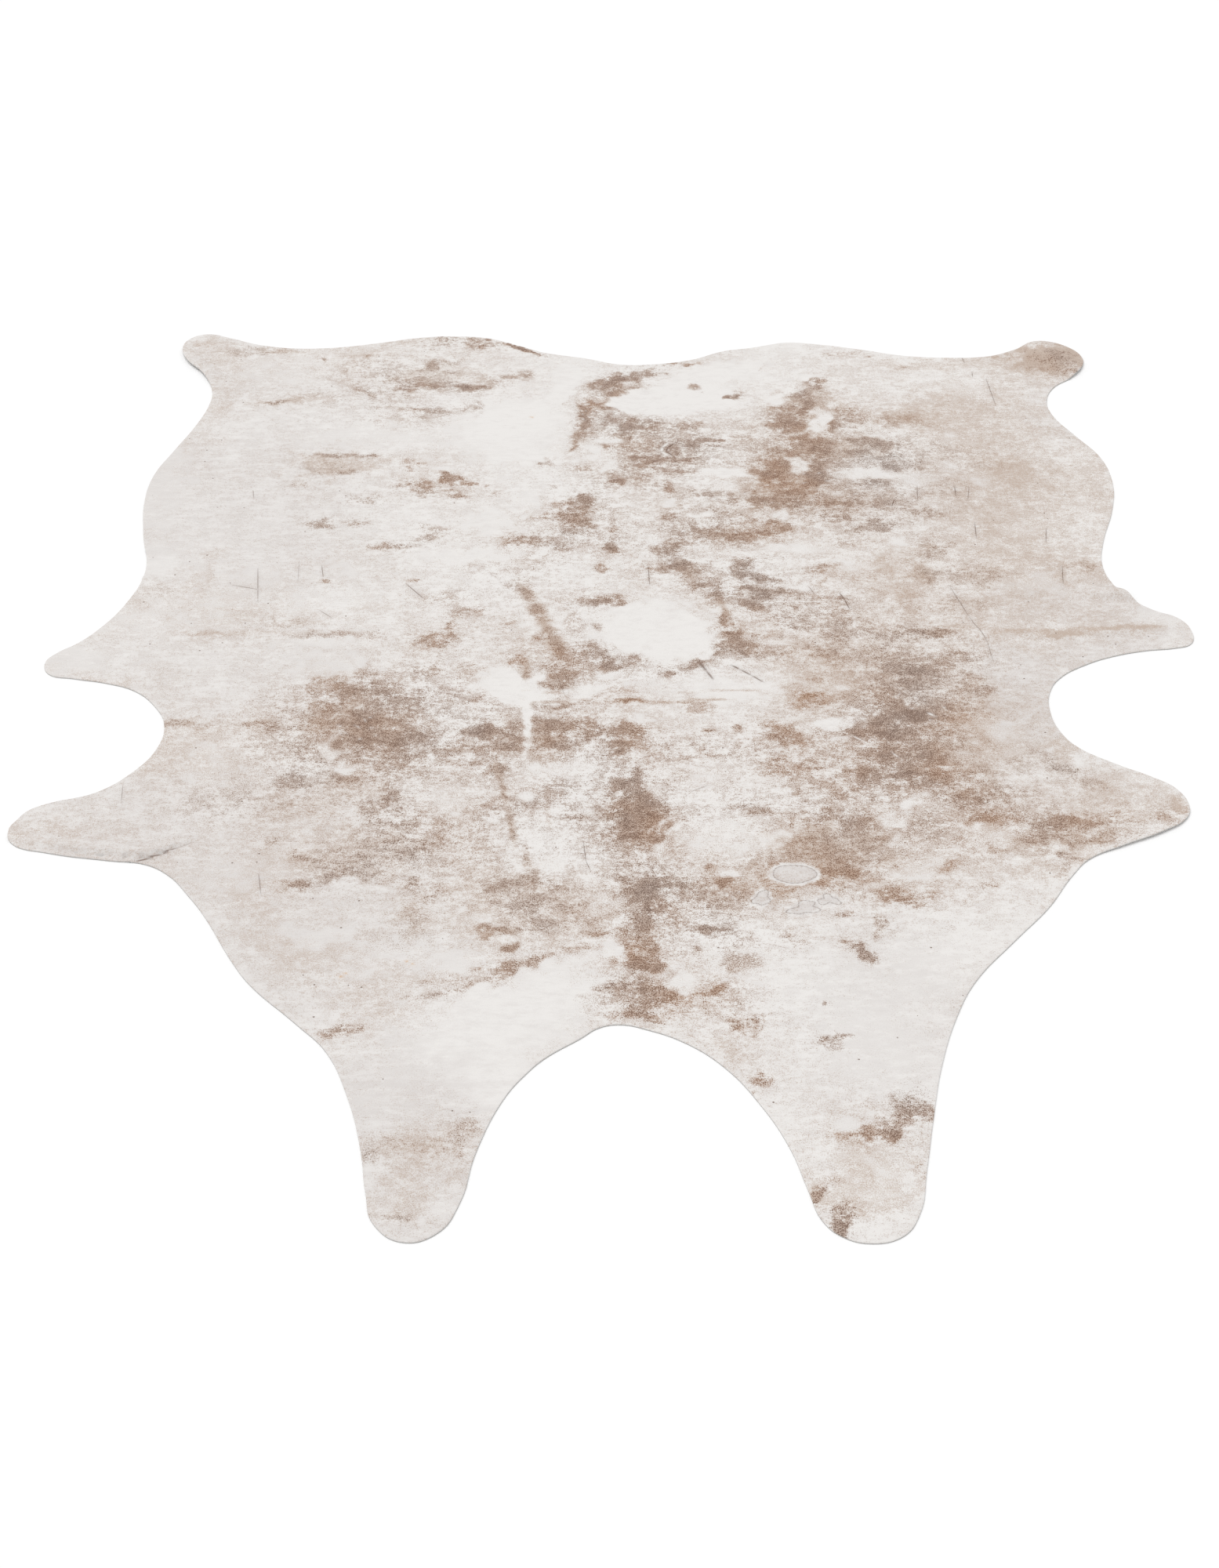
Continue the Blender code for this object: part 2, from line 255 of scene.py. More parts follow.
        (433, -67, 64, 36, .76), (527, -113, 84, 58, .53), (549, -80, 84, 50, .31, 80),
        (556, -135, 64, 50, .25), (447, -207, 154, 74, .86), (393, -220, 90, 66, .7),
        (480, -213, 84, 56, .86), (524, -190, 60, 64, .56), (380, -253, 84, 56, .82),
        (440, -254, 94, 34, .98), (473, -267, 74, 38, .76), (413, -281, 84, 26, .62),
        (540, -280, 58, 34, .36, 80), (567, -307, 64, 54, .46), (524, -315, 64, 40, .88),
        (307, -53, 64, 32, .7), (340, -47, 60, 14, .42), (293, -74, 64, 26, .5), (273, -27, 32, 28, .5),
        (313, 0, 34, 28, .46), (247, -132, 66, 24, .56, -55), (260, -160, 64, 44, .7),
        (228, -124, 26, 16, .56, -40), (180, -134, 22, 15, .7, 90), (133, -142, 17, 13, .62),
        (70, -180, 70, 26, .44), (115, -180, 66, 16, .42), (80, -158, 60, 12, .4), (273, -227, 64, 44, .54),
        (236, -226, 44, 24, .5, 30), (240, -215, 40, 12, .6), (244, -252, 44, 13, .6, -10),
        (607, -213, 32, 15, .42), (647, -213, 64, 34, .34, -45), (673, -241, 60, 28, .5, -10),
        (700, -273, 60, 30, .36, -30), (600, -312, 64, 36, .4), (455, -170, 140, 50, .4),
    ),
    "left side": (
        (-493, -32, 82, 56, .4, 80), (-440, 2, 120, 36, .4, 14), (-418, -30, 124, 66, .72),
        (-370, -70, 100, 60, .56), (-333, -60, 44, 30, .63), (-463, -72, 110, 40, .6),
        (-420, -127, 94, 86, .95), (-388, -113, 84, 66, .85), (-367, -160, 134, 56, .83),
        (-336, -170, 50, 36, .45), (-427, -167, 84, 46, .9), (-360, -194, 94, 46, .65),
        (-333, -213, 84, 54, .6), (-360, -233, 104, 44, .42), (-480, -127, 92, 76, .46, 80),
        (-480, -180, 74, 66, .38), (-707, -120, 62, 26, .46), (-667, -127, 44, 15, .38),
        (-573, -127, 64, 34, .5, 10), (-223, -140, 54, 46, .92, 60), (-180, -140, 56, 52, .76),
        (-178, -173, 76, 46, .82), (-213, -187, 84, 18, .62, 5), (-273, -190, 84, 7, .55),
        (-120, -133, 78, 52, .82, 85), (-87, -127, 62, 44, .66), (-113, -173, 74, 36, .76),
        (-73, -153, 54, 36, .56), (-40, -140, 32, 20, .8, 90), (-50, -120, 30, 16, .62),
        (7, -128, 54, 30, .78), (0, -150, 62, 42, .68), (-3, -184, 44, 34, .88, 80), (20, -162, 44, 36, .4),
        (-105, -68, 84, 6, .58, 10), (-217, -227, 74, 15, .62, 5), (-197, -240, 32, 28, .76, -40),
        (-427, -267, 84, 22, .66, 8), (-507, -267, 64, 36, .56), (-480, -287, 144, 30, .46),
        (-520, -281, 54, 40, .45), (-365, -282, 72, 18, .52, 84), (-366, -328, 62, 38, .72, 80),
        (-373, -348, 44, 36, .7), (-336, -350, 40, 32, .46, -40), (-333, -384, 74, 42, .52),
        (-267, -360, 66, 54, .36), (-133, -313, 64, 36, .42), (-73, -367, 64, 22, .66, -15),
        (-140, -190, 90, 14, .6),
    ),
    "lower spine": (
        (-5, -287, 66, 38, .82, 85), (20, -267, 64, 28, .92, 85), (0, -327, 84, 50, .92, 85),
        (24, -324, 70, 60, .95), (56, -340, 80, 32, .66, 80), (0, -370, 80, 52, .85, 80),
        (19, -366, 88, 82, 1.0), (50, -384, 60, 32, .6, 80), (18, -413, 84, 38, 1.05),
        (13, -440, 60, 34, .56), (22, -487, 64, 50, .48, 80), (24, -533, 74, 54, .98, 85),
        (33, -573, 64, 56, .88), (20, -620, 84, 38, .82, 85), (27, -667, 62, 48, .82, 80),
        (36, -707, 50, 26, .95), (18, -700, 64, 40, .95), (7, -747, 64, 42, .69),
        (33, -763, 84, 38, .69, -15), (82, -763, 96, 12, .57), (122, -757, 44, 20, .72, 20),
        (27, -787, 62, 28, .7), (20, -808, 54, 18, .82, -5), (-20, -810, 40, 16, .5),
        (133, -774, 52, 36, .42, 80), (-40, -753, 34, 28, .57), (-8, -776, 50, 30, .36),
        (5, -515, 50, 40, .8, 90), (67, -520, 54, 26, .82), (80, -533, 44, 36, .7),
        (140, -521, 34, 28, .82), (150, -545, 62, 36, .53), (174, -547, 34, 38, .49, 80),
        (80, -593, 94, 36, .42), (127, -490, 24, 20, .6), (120, -627, 56, 12, .88),
        (100, -670, 12, 12, .72), (167, -687, 62, 18, .48, 5), (230, -633, 32, 20, .46, 85),
    ),
    "left thigh": (
        (-473, -457, 64, 28, .52), (-420, -467, 104, 40, .5), (-433, -507, 64, 44, .52),
        (-333, -446, 90, 60, .58), (-307, -438, 62, 46, .62), (-400, -494, 84, 36, .56),
        (-480, -530, 54, 28, .62, -15), (-520, -420, 34, 28, .42), (-313, -520, 32, 26, .56),
        (-273, -413, 54, 36, .42), (-145, -462, 66, 10, .56, -78), (-180, -527, 62, 24, .62),
        (-140, -513, 74, 30, .62), (-107, -533, 64, 34, .58), (-187, -580, 84, 40, .39, 80),
        (-140, -573, 84, 50, .54), (-87, -575, 90, 44, .46), (-53, -575, 54, 40, .35),
        (-187, -627, 64, 36, .76), (-113, -614, 64, 30, .5), (-67, -608, 84, 24, .42),
        (-40, -636, 60, 22, .6), (-220, -573, 32, 28, .35), (-163, -668, 24, 20, .82, 20),
        (-67, -667, 62, 15, .5), (-127, -694, 66, 18, .66, 24), (-163, -708, 62, 26, .66, 15),
        (-203, -740, 96, 12, .6, 30), (-207, -711, 18, 9, .72), (-260, -764, 94, 9, .5, 10),
        (-273, -737, 34, 14, .46, 10), (-300, -600, 60, 40, .34, 60), (-390, -838, 62, 18, .56, 14),
        (-360, -833, 9, 8, .84), (-179, -857, 16, 7, .74), (-178, -556, 50, 40, .4),
        (-370, -430, 60, 40, .5), (-285, -545, 60, 50, .45),
    ),
    "right thigh": (
        (207, -486, 56, 26, .38, 34), (252, -446, 60, 44, .46), (293, -427, 104, 52, .47),
        (336, -460, 104, 70, .49), (353, -420, 114, 56, .57), (313, -494, 84, 46, .84),
        (220, -478, 70, 30, .55, 20), (273, -521, 64, 18, .76), (222, -541, 62, 22, .42, 10),
        (353, -521, 80, 30, .52), (380, -541, 84, 30, .6, -12), (395, -563, 62, 20, .7, -15),
        (440, -548, 44, 26, .42), (473, -481, 50, 18, .58, 24), (507, -460, 60, 30, .26, 80),
        (547, -441, 44, 12, .64, -10), (487, -420, 92, 26, .42), (312, -594, 24, 12, .64),
        (328, -667, 38, 18, .74, -40), (341, -681, 32, 18, .86, -60), (307, -653, 18, 9, .64, -20),
        (360, -620, 54, 26, .52, 85), (463, -623, 11, 8, .56, -30), (490, -560, 14, 8, .46),
        (527, -527, 34, 12, .44), (200, -348, 64, 18, .62), (173, -333, 34, 26, .5),
        (273, -307, 64, 36, .46), (318, -366, 104, 40, .62), (353, -382, 90, 46, .66),
        (270, -374, 54, 36, .5), (607, -420, 60, 24, .66), (648, -414, 110, 44, .58),
        (696, -416, 70, 34, .46), (633, -454, 84, 14, .54, -14), (640, -493, 44, 20, .38, 50),
        (580, -368, 120, 38, .56), (647, -380, 144, 44, .74), (713, -370, 124, 36, .48),
        (767, -368, 124, 30, .42, 4), (822, -352, 74, 22, .3, 25), (540, -374, 64, 36, .82),
        (273, -783, 17, 6, .74, -20), (267, -857, 16, 13, .9), (292, -852, 28, 12, .78, 8),
        (158, -816, 70, 30, .55), (173, -834, 44, 18, .42, 80), (178, -935, 36, 26, .5, 40),
        (240, -655, 50, 14, .34), (430, -440, 60, 30, .4), (300, -400, 60, 40, .6),
    ),
    "washes and touches": (
        (60, 790, 150, 110, .46), (100, 705, 110, 60, .5), (420, 880, 110, 90, .46, 20),
        (500, 720, 130, 70, .5), (330, 730, 90, 60, .5), (560, 620, 150, 100, .32),
        (600, 760, 170, 130, .3), (400, 540, 170, 60, .4), (160, 520, 150, 80, .4, 10),
        (90, 560, 100, 60, .36, 60), (280, 240, 160, 90, .35, -10), (330, 170, 140, 80, .30),
        (430, 106, 130, 70, .42, 10), (350, 80, 120, 80, .46), (205, 196, 60, 50, .28),
        (450, 240, 160, 100, .22), (380, 330, 160, 60, .24), (600, 320, 140, 80, .34),
        (550, 420, 120, 60, .3), (-100, 420, 60, 40, .56), (150, -190, 120, 60, .4),
        (205, -180, 100, 60, .34), (80, -205, 120, 46, .36), (-170, -330, 120, 80, .48, 10),
        (-250, -380, 120, 80, .4), (-110, -300, 100, 70, .44), (-60, -340, 80, 50, .4, -15),
        (-260, -270, 100, 60, .3), (-230, -430, 140, 90, .3), (360, -300, 130, 60, .5),
        (450, -330, 90, 60, .36), (440, -400, 110, 60, .36), (70, -590, 110, 90, .42, 90),
        (150, -700, 80, 60, .34), (-130, 40, 200, 130, .22), (-60, 230, 160, 100, .24),
        (-720, 1150, 160, 40, .3, 6), (-480, 1060, 220, 140, .28), (-350, 1190, 100, 50, .36, 30),
        (-400, 880, 200, 80, .26), (-330, 650, 160, 120, .18), (-790, 260, 90, 80, .22),
        (-290, 245, 110, 60, .3), (-250, -30, 120, 80, .24), (-560, -300, 260, 160, .3),
        (150, 780, 90, 40, .4), (40, 640, 120, 70, .34), (-30, 480, 120, 60, .3),
        (-8, 988, 66, 38, .85, 20), (352, 914, 90, 38, .95, 75), (440, -402, 110, 84, .6),
        (92, 756, 76, 40, .72), (250, -460, 120, 24, .5), (312, -506, 40, 56, .5),
        (214, -520, 90, 24, .34, 8), (285, 176, 90, 56, .5), (456, 2, 96, 40, .4, 85),
        (-500, -215, 76, 44, .46), (-405, -172, 60, 40, .5), (20, -764, 84, 34, .5, -10),
        (-62, -768, 44, 28, .5), (-140, 715, 60, 60, .26), (-330, 898, 100, 34, .36),
        (-450, 960, 110, 50, .26), (400, -168, 80, 28, .4), (-160, -215, 170, 60, .3),
        (110, -562, 110, 56, .3), (470, 560, 90, 80, .3), (-210, -738, 180, 50, .3, -10),
        (128, 284, 50, 30, .5), (-560, -150, 90, 40, .26), (-270, -320, 60, 110, .22),
        (90, 880, 90, 24, .3), (370, -285, 90, 40, .6), (80, 455, 70, 50, .5, 60), (158, -694, 64, 40, .6),
        (120, -570, 56, 34, .55), (150, -300, 150, 60, .26), (140, -410, 100, 140, .24),
        (-255, 20, 120, 90, .32), (-330, -5, 50, 40, .4), (460, 0, 100, 44, .55, 85),
        (400, -165, 70, 24, .5), (440, -120, 60, 22, .42), (-165, 305, 60, 50, .36, 85),
        (-200, 375, 220, 130, .3), (780, 345, 60, 40, .36), (-480, 130, 170, 26, .42),
        (-680, 138, 110, 18, .3), (190, 92, 70, 62, .72), (110, 40, 110, 24, .42, 10),
        (-15, 42, 64, 40, .52), (280, -856, 44, 26, .55), (50, -815, 44, 26, .5), (150, -780, 40, 60, .34),
        (-350, -655, 130, 60, .32), (-190, -750, 160, 40, .22), (-420, 890, 160, 60, .24),
        (-278, 900, 50, 30, .42, 85), (-250, 1030, 60, 50, .42), (-290, 1184, 64, 28, .5),
        (140, 990, 50, 40, .38), (220, 960, 54, 32, .42), (440, 1140, 56, 30, .38), (60, 700, 130, 26, .38),
        (-145, 714, 40, 46, .45), (400, 680, 160, 44, .32), (265, 242, 100, 24, .52),
        (370, 252, 60, 20, .4), (-120, -210, 110, 80, .22), (-430, -310, 90, 90, .24),
        (-490, -230, 60, 40, .3), (640, 700, 200, 40, .26), (848, 1112, 150, 96, .4, 25),
        (800, 1128, 110, 60, .3), (510, 540, 110, 56, .4, 70), (418, 852, 54, 40, .56),
        (455, -376, 96, 90, .46), (120, -70, 64, 60, .4), (-95, -60, 66, 50, .38),
        (150, -640, 110, 60, .4, 80), (-230, -462, 130, 60, .34), (190, 84, 60, 40, .5),
        (170, 232, 60, 40, .30), (560, 220, 160, 50, .28), (-300, -640, 80, 60, .28),
        (-720, 210, 160, 60, .2), (-560, 170, 120, 30, .24), (-560, 960, 120, 50, .22),
        (110, -1000, 40, 40, .2), (300, -1120, 90, 80, .21), (-170, 290, 60, 110, .32),
        (-276, 914, 36, 26, .6), (-54, 903, 32, 24, 1.0), (-48, -152, 36, 24, .9), (132, 284, 44, 22, .85),
        (455, 0, 84, 36, .9, 85), (-405, -172, 70, 34, 1.1), (36, -760, 60, 30, .9, -10),
        (272, 552, 54, 30, .8), (455, 560, 60, 36, .6), (400, 426, 80, 34, .34), (110, 440, 90, 50, .5),
        (-90, -30, 84, 64, .5), (-300, -40, 160, 70, .42), (-240, -60, 60, 50, .5), (-110, -70, 90, 24, .7),
        (-425, 22, 40, 40, .5), (-318, 30, 50, 30, .5), (-20, 38, 50, 30, .9), (876, 1076, 40, 70, .5, -20),
        (-490, -205, 60, 56, .5), (455, -280, 100, 34, .8), (440, -10, 60, 40, .7), (500, 715, 90, 30, .55),
        (545, 528, 60, 40, .4), (-165, -560, 50, 44, .5), (-140, -628, 60, 20, .6), (120, -550, 70, 60, .5),
        (30, 692, 110, 18, .7), (155, 598, 40, 26, .8), (368, 640, 50, 50, .8, 60),
        (-240, -1060, 60, 40, .4), (-335, -1080, 40, 40, .4), (385, -990, 30, 50, .6, 20),
        (530, 385, 70, 50, .45, 80), (240, 246, 60, 22, .8), (345, 245, 60, 22, .6),
        (520, 865, 110, 50, .45), (2, 812, 40, 34, .8), (56, 860, 40, 20, .8), (-85, 170, 40, 90, .35),
        (420, -112, 100, 30, .9), (-372, -172, 60, 30, 1.0), (130, -560, 80, 50, .4),
        (322, 730, 40, 34, .8), (272, 860, 30, 30, .5), (500, 570, 120, 60, .3), (-22, 40, 44, 22, .75),
        (-420, -60, 110, 32, .55), (-290, 992, 50, 22, .9), (-370, 1085, 50, 44, .55, 80),
        (-450, 1030, 70, 50, .4), (100, 1104, 32, 28, .5), (856, 1104, 70, 80, .56, -10),
        (-412, -132, 110, 90, .45), (300, -436, 120, 80, .6, -10), (150, -290, 90, 60, .3),
        (140, -392, 50, 50, .2), (300, 430, 90, 24, .26),
    ),
    "legs": (
        (371, -985, 54, 34, .72), (358, -1000, 64, 36, .74, 25), (329, -1030, 46, 40, .98, 30),
        (294, -1034, 32, 36, .62, 80), (306, -1060, 36, 16, .44, -60), (273, -1041, 36, 18, .42),
        (240, -1147, 34, 14, .74, 85), (268, -1178, 46, 30, .62, 85), (266, -1198, 34, 18, .9, 80),
        (268, -1113, 54, 24, .38), (372, -1100, 32, 12, .38, 85), (-288, -1054, 110, 56, .26),
        (-332, -1067, 6, 5, 1.3), (-213, -1067, 34, 15, .42, 80), (-215, -1030, 60, 50, .36),
        (-290, -1180, 60, 20, .36),
    ),
}

# Thin pale brown washes between the brown.
TAN = {
    "right side": (
        (680, 860, 440, 360, .4, 80), (553, 927, 104, 56, .4), (613, 967, 56, 36, .55),
        (613, 933, 64, 28, .5, 80), (687, 905, 126, 30, .34), (555, 875, 190, 80, .6, 10),
        (713, 694, 104, 74, .66), (673, 720, 84, 32, .62), (700, 674, 154, 56, .64), (747, 620, 84, 40, .5),
        (580, 673, 64, 36, .45), (700, 560, 380, 300, .6, 85), (687, 373, 204, 116, .55),
        (767, 307, 64, 60, .75), (520, 322, 64, 50, .75), (447, 346, 60, 50, .6, 80),
        (513, 408, 64, 36, .5), (647, 233, 204, 54, .48), (480, 227, 84, 36, .5, 80),
        (620, 330, 440, 300, .42), (640, 140, 300, 120, .34), (770, 210, 140, 60, .4, 60),
        (380, 60, 320, 300, .42), (530, -60, 180, 260, .32), (700, -300, 250, 160, .4, -20),
        (790, 700, 60, 110, .5), (838, -332, 36, 32, .75), (838, 1120, 170, 100, .95, 15),
        (560, -200, 200, 200, .4), (640, -430, 200, 100, .45, 10),
    ),
    "edges": (
        (845, 620, 440, 130, .48, 88), (-560, 200, 380, 90, .32), (-790, 900, 300, 130, .3, 85),
        (-390, -730, 320, 120, .36, -40), (300, -1130, 130, 110, .55), (-870, -400, 130, 90, .36),
        (790, -290, 140, 90, .3), (-700, -190, 150, 190, .36), (560, 210, 260, 90, .4),
        (-730, 290, 90, 110, .4), (570, 160, 120, 30, .6), (690, -190, 60, 90, .6),
        (-850, 1180, 60, 90, .5), (-780, 1110, 110, 80, .5), (785, 400, 60, 300, .42),
        (640, 1095, 280, 50, .55), (-840, -10, 140, 40, .4), (590, -500, 120, 60, .4),
        (-800, 260, 120, 160, .3), (-620, 1140, 420, 90, .26), (-300, -1170, 120, 90, .2),
    ),
    "right fore point": (
        (812, 147, 206, 15, .95, 4), (867, 153, 64, 10, .95, 4), (727, 133, 104, 22, .95, 4),
        (647, 137, 90, 14, .8), (850, 262, 110, 14, .45, 4), (780, 240, 110, 40, .3),
        (820, 250, 40, 30, .4),
    ),
    "right neck corner": (
        (836, 1116, 124, 70, 1.2, 20), (868, 1144, 80, 70, 1.1), (660, 1100, 70, 24, .5),
        (800, 1080, 130, 50, .45), (850, 1100, 50, 46, .8),
    ),
    "left neck corner": (
        (-790, 1140, 150, 120, .42, -40), (-740, 1100, 130, 60, .36, -20), (-667, 1150, 110, 14, .6, 4),
        (-770, 1080, 60, 60, .4), (-525, 1130, 110, 40, .34), (-757, 915, 60, 46, .5, 60),
        (-640, 945, 180, 26, .36, 8), (-430, 1190, 160, 26, .3, 8),
    ),
    "left side": (
        (-520, 700, 170, 90, .55), (-600, 137, 330, 24, .4), (-610, 110, 300, 60, .22),
        (-720, 395, 46, 60, .42, 80), (-700, 300, 300, 160, .14), (-610, -180, 260, 220, .26),
        (-880, 25, 70, 24, .3), (-790, -390, 240, 110, .2), (-430, -300, 180, 110, .3),
        (-580, -340, 320, 200, .20), (-415, -125, 150, 120, .5), (-160, -150, 160, 110, .3),
        (-400, -450, 260, 140, .34), (-140, -570, 240, 180, .4),
    ),
    "hind": (
        (300, -440, 180, 120, .55), (230, -500, 140, 90, .4), (160, -540, 100, 70, .4),
        (-290, -615, 70, 70, .34), (-283, -1060, 120, 80, .36), (-280, -1140, 110, 100, .45),
        (330, -1010, 120, 80, .12), (140, -880, 60, 40, .3, -50), (-540, -560, 140, 60, .3, -60),
    ),
    "neck": (
        (350, 940, 90, 150, .5), (-360, 1050, 170, 120, .4), (300, 640, 190, 180, .4),
        (410, 580, 260, 100, .4), (430, 770, 240, 90, .5), (190, 450, 150, 60, .25),
        (480, 520, 280, 150, .3), (-20, 1100, 60, 30, .3),
    ),
}

# Wide cool grey clouds in the white.
GREY = {
    "left side": (
        (862, 1118, 130, 110, .8), (-700, 560, 520, 800, .5), (-780, 1060, 240, 300, .5),
        (-640, 40, 480, 400, .42), (-640, -420, 560, 420, .6), (-600, 950, 420, 240, .3),
        (-440, -640, 420, 420, .6, 30), (-300, -1060, 240, 460, .7), (-880, 50, 140, 90, .4),
    ),
    "right side": (
        (820, 900, 120, 260, .5), (760, 240, 360, 160, .7), (760, 80, 360, 110, .7, 20),
        (640, -60, 140, 360, .9), (640, -260, 260, 200, .5), (350, -820, 220, 500, .4),
        (560, 600, 400, 300, .4), (210, -575, 30, 20, .8),
    ),
}

# Places where the white stays clean.
WHITE = {
    "thin places": (
        (-235, 495, 110, 80, .7), (300, -1112, 110, 90, .5), (288, -1014, 60, 38, .5),
        (-480, 40, 130, 80, .55), (335, -120, 96, 40, .7), (582, -140, 84, 110, .55),
        (562, -420, 60, 40, .5), (425, -498, 80, 40, .5), (650, 640, 60, 40, .4), (700, 290, 100, 60, .4),
        (700, 465, 70, 40, .4), (478, 430, 40, 60, .45), (300, 412, 110, 36, .45), (282, 520, 50, 60, .4),
        (-810, 410, 60, 50, .5), (-640, 320, 90, 110, .45), (-690, 222, 120, 50, .45),
        (-205, -598, 56, 66, .65), (-15, -668, 54, 36, .8), (190, 612, 70, 40, .5), (-50, -350, 44, 36, .5),
        (66, -384, 30, 40, .75), (-840, 680, 90, 380, .5), (650, 985, 90, 60, .3),
        (-430, -645, 150, 70, .7), (-115, 985, 50, 90, .8, 10), (296, 958, 40, 50, .55, 80),
        (-25, 705, 40, 46, .6), (160, 212, 30, 30, .6), (250, 110, 70, 18, .6), (-130, 165, 50, 40, .85),
        (-30, -560, 54, 46, .5), (70, -706, 36, 30, .5), (-760, 190, 240, 160, .35),
        (-905, 60, 110, 80, .5), (905, 190, 90, 110, .4), (-520, 222, 280, 60, .3),
        (-480, 800, 300, 90, .35), (-670, 1060, 200, 120, .3), (620, 790, 120, 70, .35),
        (600, 700, 60, 60, .35), (-560, -500, 160, 80, .4), (-640, -240, 90, 130, .4),
        (-290, -940, 110, 180, .3), (400, -720, 160, 130, .35), (-455, -184, 44, 54, .8),
        (224, -430, 44, 56, .8), (12, 905, 50, 20, .8, -15), (-22, 794, 44, 40, .7), (356, 808, 30, 24, .6),
        (468, 806, 50, 20, .6), (380, 598, 50, 20, .6), (420, 655, 60, 20, .6), (540, 640, 100, 60, .4),
        (300, 282, 60, 30, .5), (390, 352, 90, 50, .45), (-325, 684, 44, 24, .5), (455, -468, 60, 30, .5),
        (44, -294, 40, 24, .5), (-240, -698, 70, 40, .6), (24, -108, 40, 24, .6), (78, -738, 56, 34, .9),
        (350, -22, 50, 24, .6), (275, -15, 80, 40, .5), (10, 86, 30, 24, .9), (430, -328, 40, 26, .8),
        (152, -497, 40, 20, .7), (140, 520, 44, 24, .7), (80, 560, 44, 28, .6), (-820, 470, 60, 160, .4),
        (-165, 575, 60, 50, .5), (-480, 340, 60, 50, .5), (-330, 487, 40, 20, .6), (372, 1042, 40, 30, .6),
        (-150, -312, 36, 20, .7), (515, -205, 60, 36, .6), (-440, -240, 50, 40, .6), (50, -440, 30, 40, .6),
        (360, -530, 60, 20, .6), (330, -168, 50, 26, .5), (-560, -260, 120, 50, .3),
        (-480, 470, 60, 40, .3),
    ),
    "neck": (
        (90, 950, 250, 110, 1.0), (3, 933, 54, 48, 1.0), (180, 1050, 200, 90, .9, 25),
        (-215, 830, 200, 200, .9), (-190, 740, 160, 60, .7), (200, 672, 110, 44, .9),
        (378, 872, 74, 36, .85, 85), (362, 832, 40, 26, .9), (323, 702, 44, 40, 1.0),
        (430, 672, 90, 44, .6), (480, 660, 120, 30, .6), (-60, 740, 30, 60, .7), (-110, 1060, 80, 90, .6),
        (120, 560, 60, 60, .2),
    ),
    "middle": (
        (52, 152, 160, 144, 1.1), (100, 110, 90, 90, 1.0), (-182, -14, 112, 56, .95),
        (-160, -48, 96, 40, .8), (-204, 12, 60, 50, .8), (-153, -128, 170, 15, 1.1, 90),
        (-810, 350, 70, 66, .8), (180, -30, 150, 60, .6), (-260, 380, 200, 60, .6),
        (130, -280, 90, 90, .25), (140, -410, 150, 80, .36), (-480, 110, 160, 30, .5),
        (60, 440, 46, 60, .5), (-70, -40, 80, 40, .8, 20), (-20, 20, 60, 30, .6), (-120, -240, 90, 50, .4),
    ),
    "hind": (
        (400, -367, 60, 50, .6), (447, -313, 60, 24, .5, -15), (467, -347, 70, 40, .3),
        (513, -387, 94, 50, .6), (-150, -800, 260, 130, .9, 40), (-170, -930, 100, 130, .8, 30),
        (330, -860, 120, 200, .4), (-340, -680, 120, 90, .5), (282, -150, 40, 40, .5),
        (-260, -340, 60, 90, .4), (150, -700, 120, 80, .4), (430, -420, 90, 60, .5),
    ),
}

# Long thin smears of brown: start and end in millimetres, width, and how dark.
STROKES = (
    (-178, 292, -152, 232, 19, .62), (-152, 232, -140, 190, 20, .68), (-140, 190, -120, 132, 22, .72),
    (-120, 132, -106, 88, 24, .72), (33, -65, 190, -52, 6, .5), (-201, -225, -189, -275, 9, .7),
    (-189, -275, -178, -330, 8, .65), (-178, -330, -163, -432, 8, .6), (-325, -187, -235, -193, 6, .6),
    (-150, -64, -62, -56, 6, .65), (-160, 60, -158, -20, 12, .5), (-148, -430, -142, -500, 6, .5),
    (-165, -30, -70, -40, 5, .5), (330, 275, 352, 320, 7, .4), (-120, -330, -112, -400, 6, .4),
    (160, 250, 176, 190, 9, .7), (118, 300, 96, 372, 16, .6), (88, -35, 240, -26, 4, .5),
    (-300, 92, -350, 90, 5, .6),
)

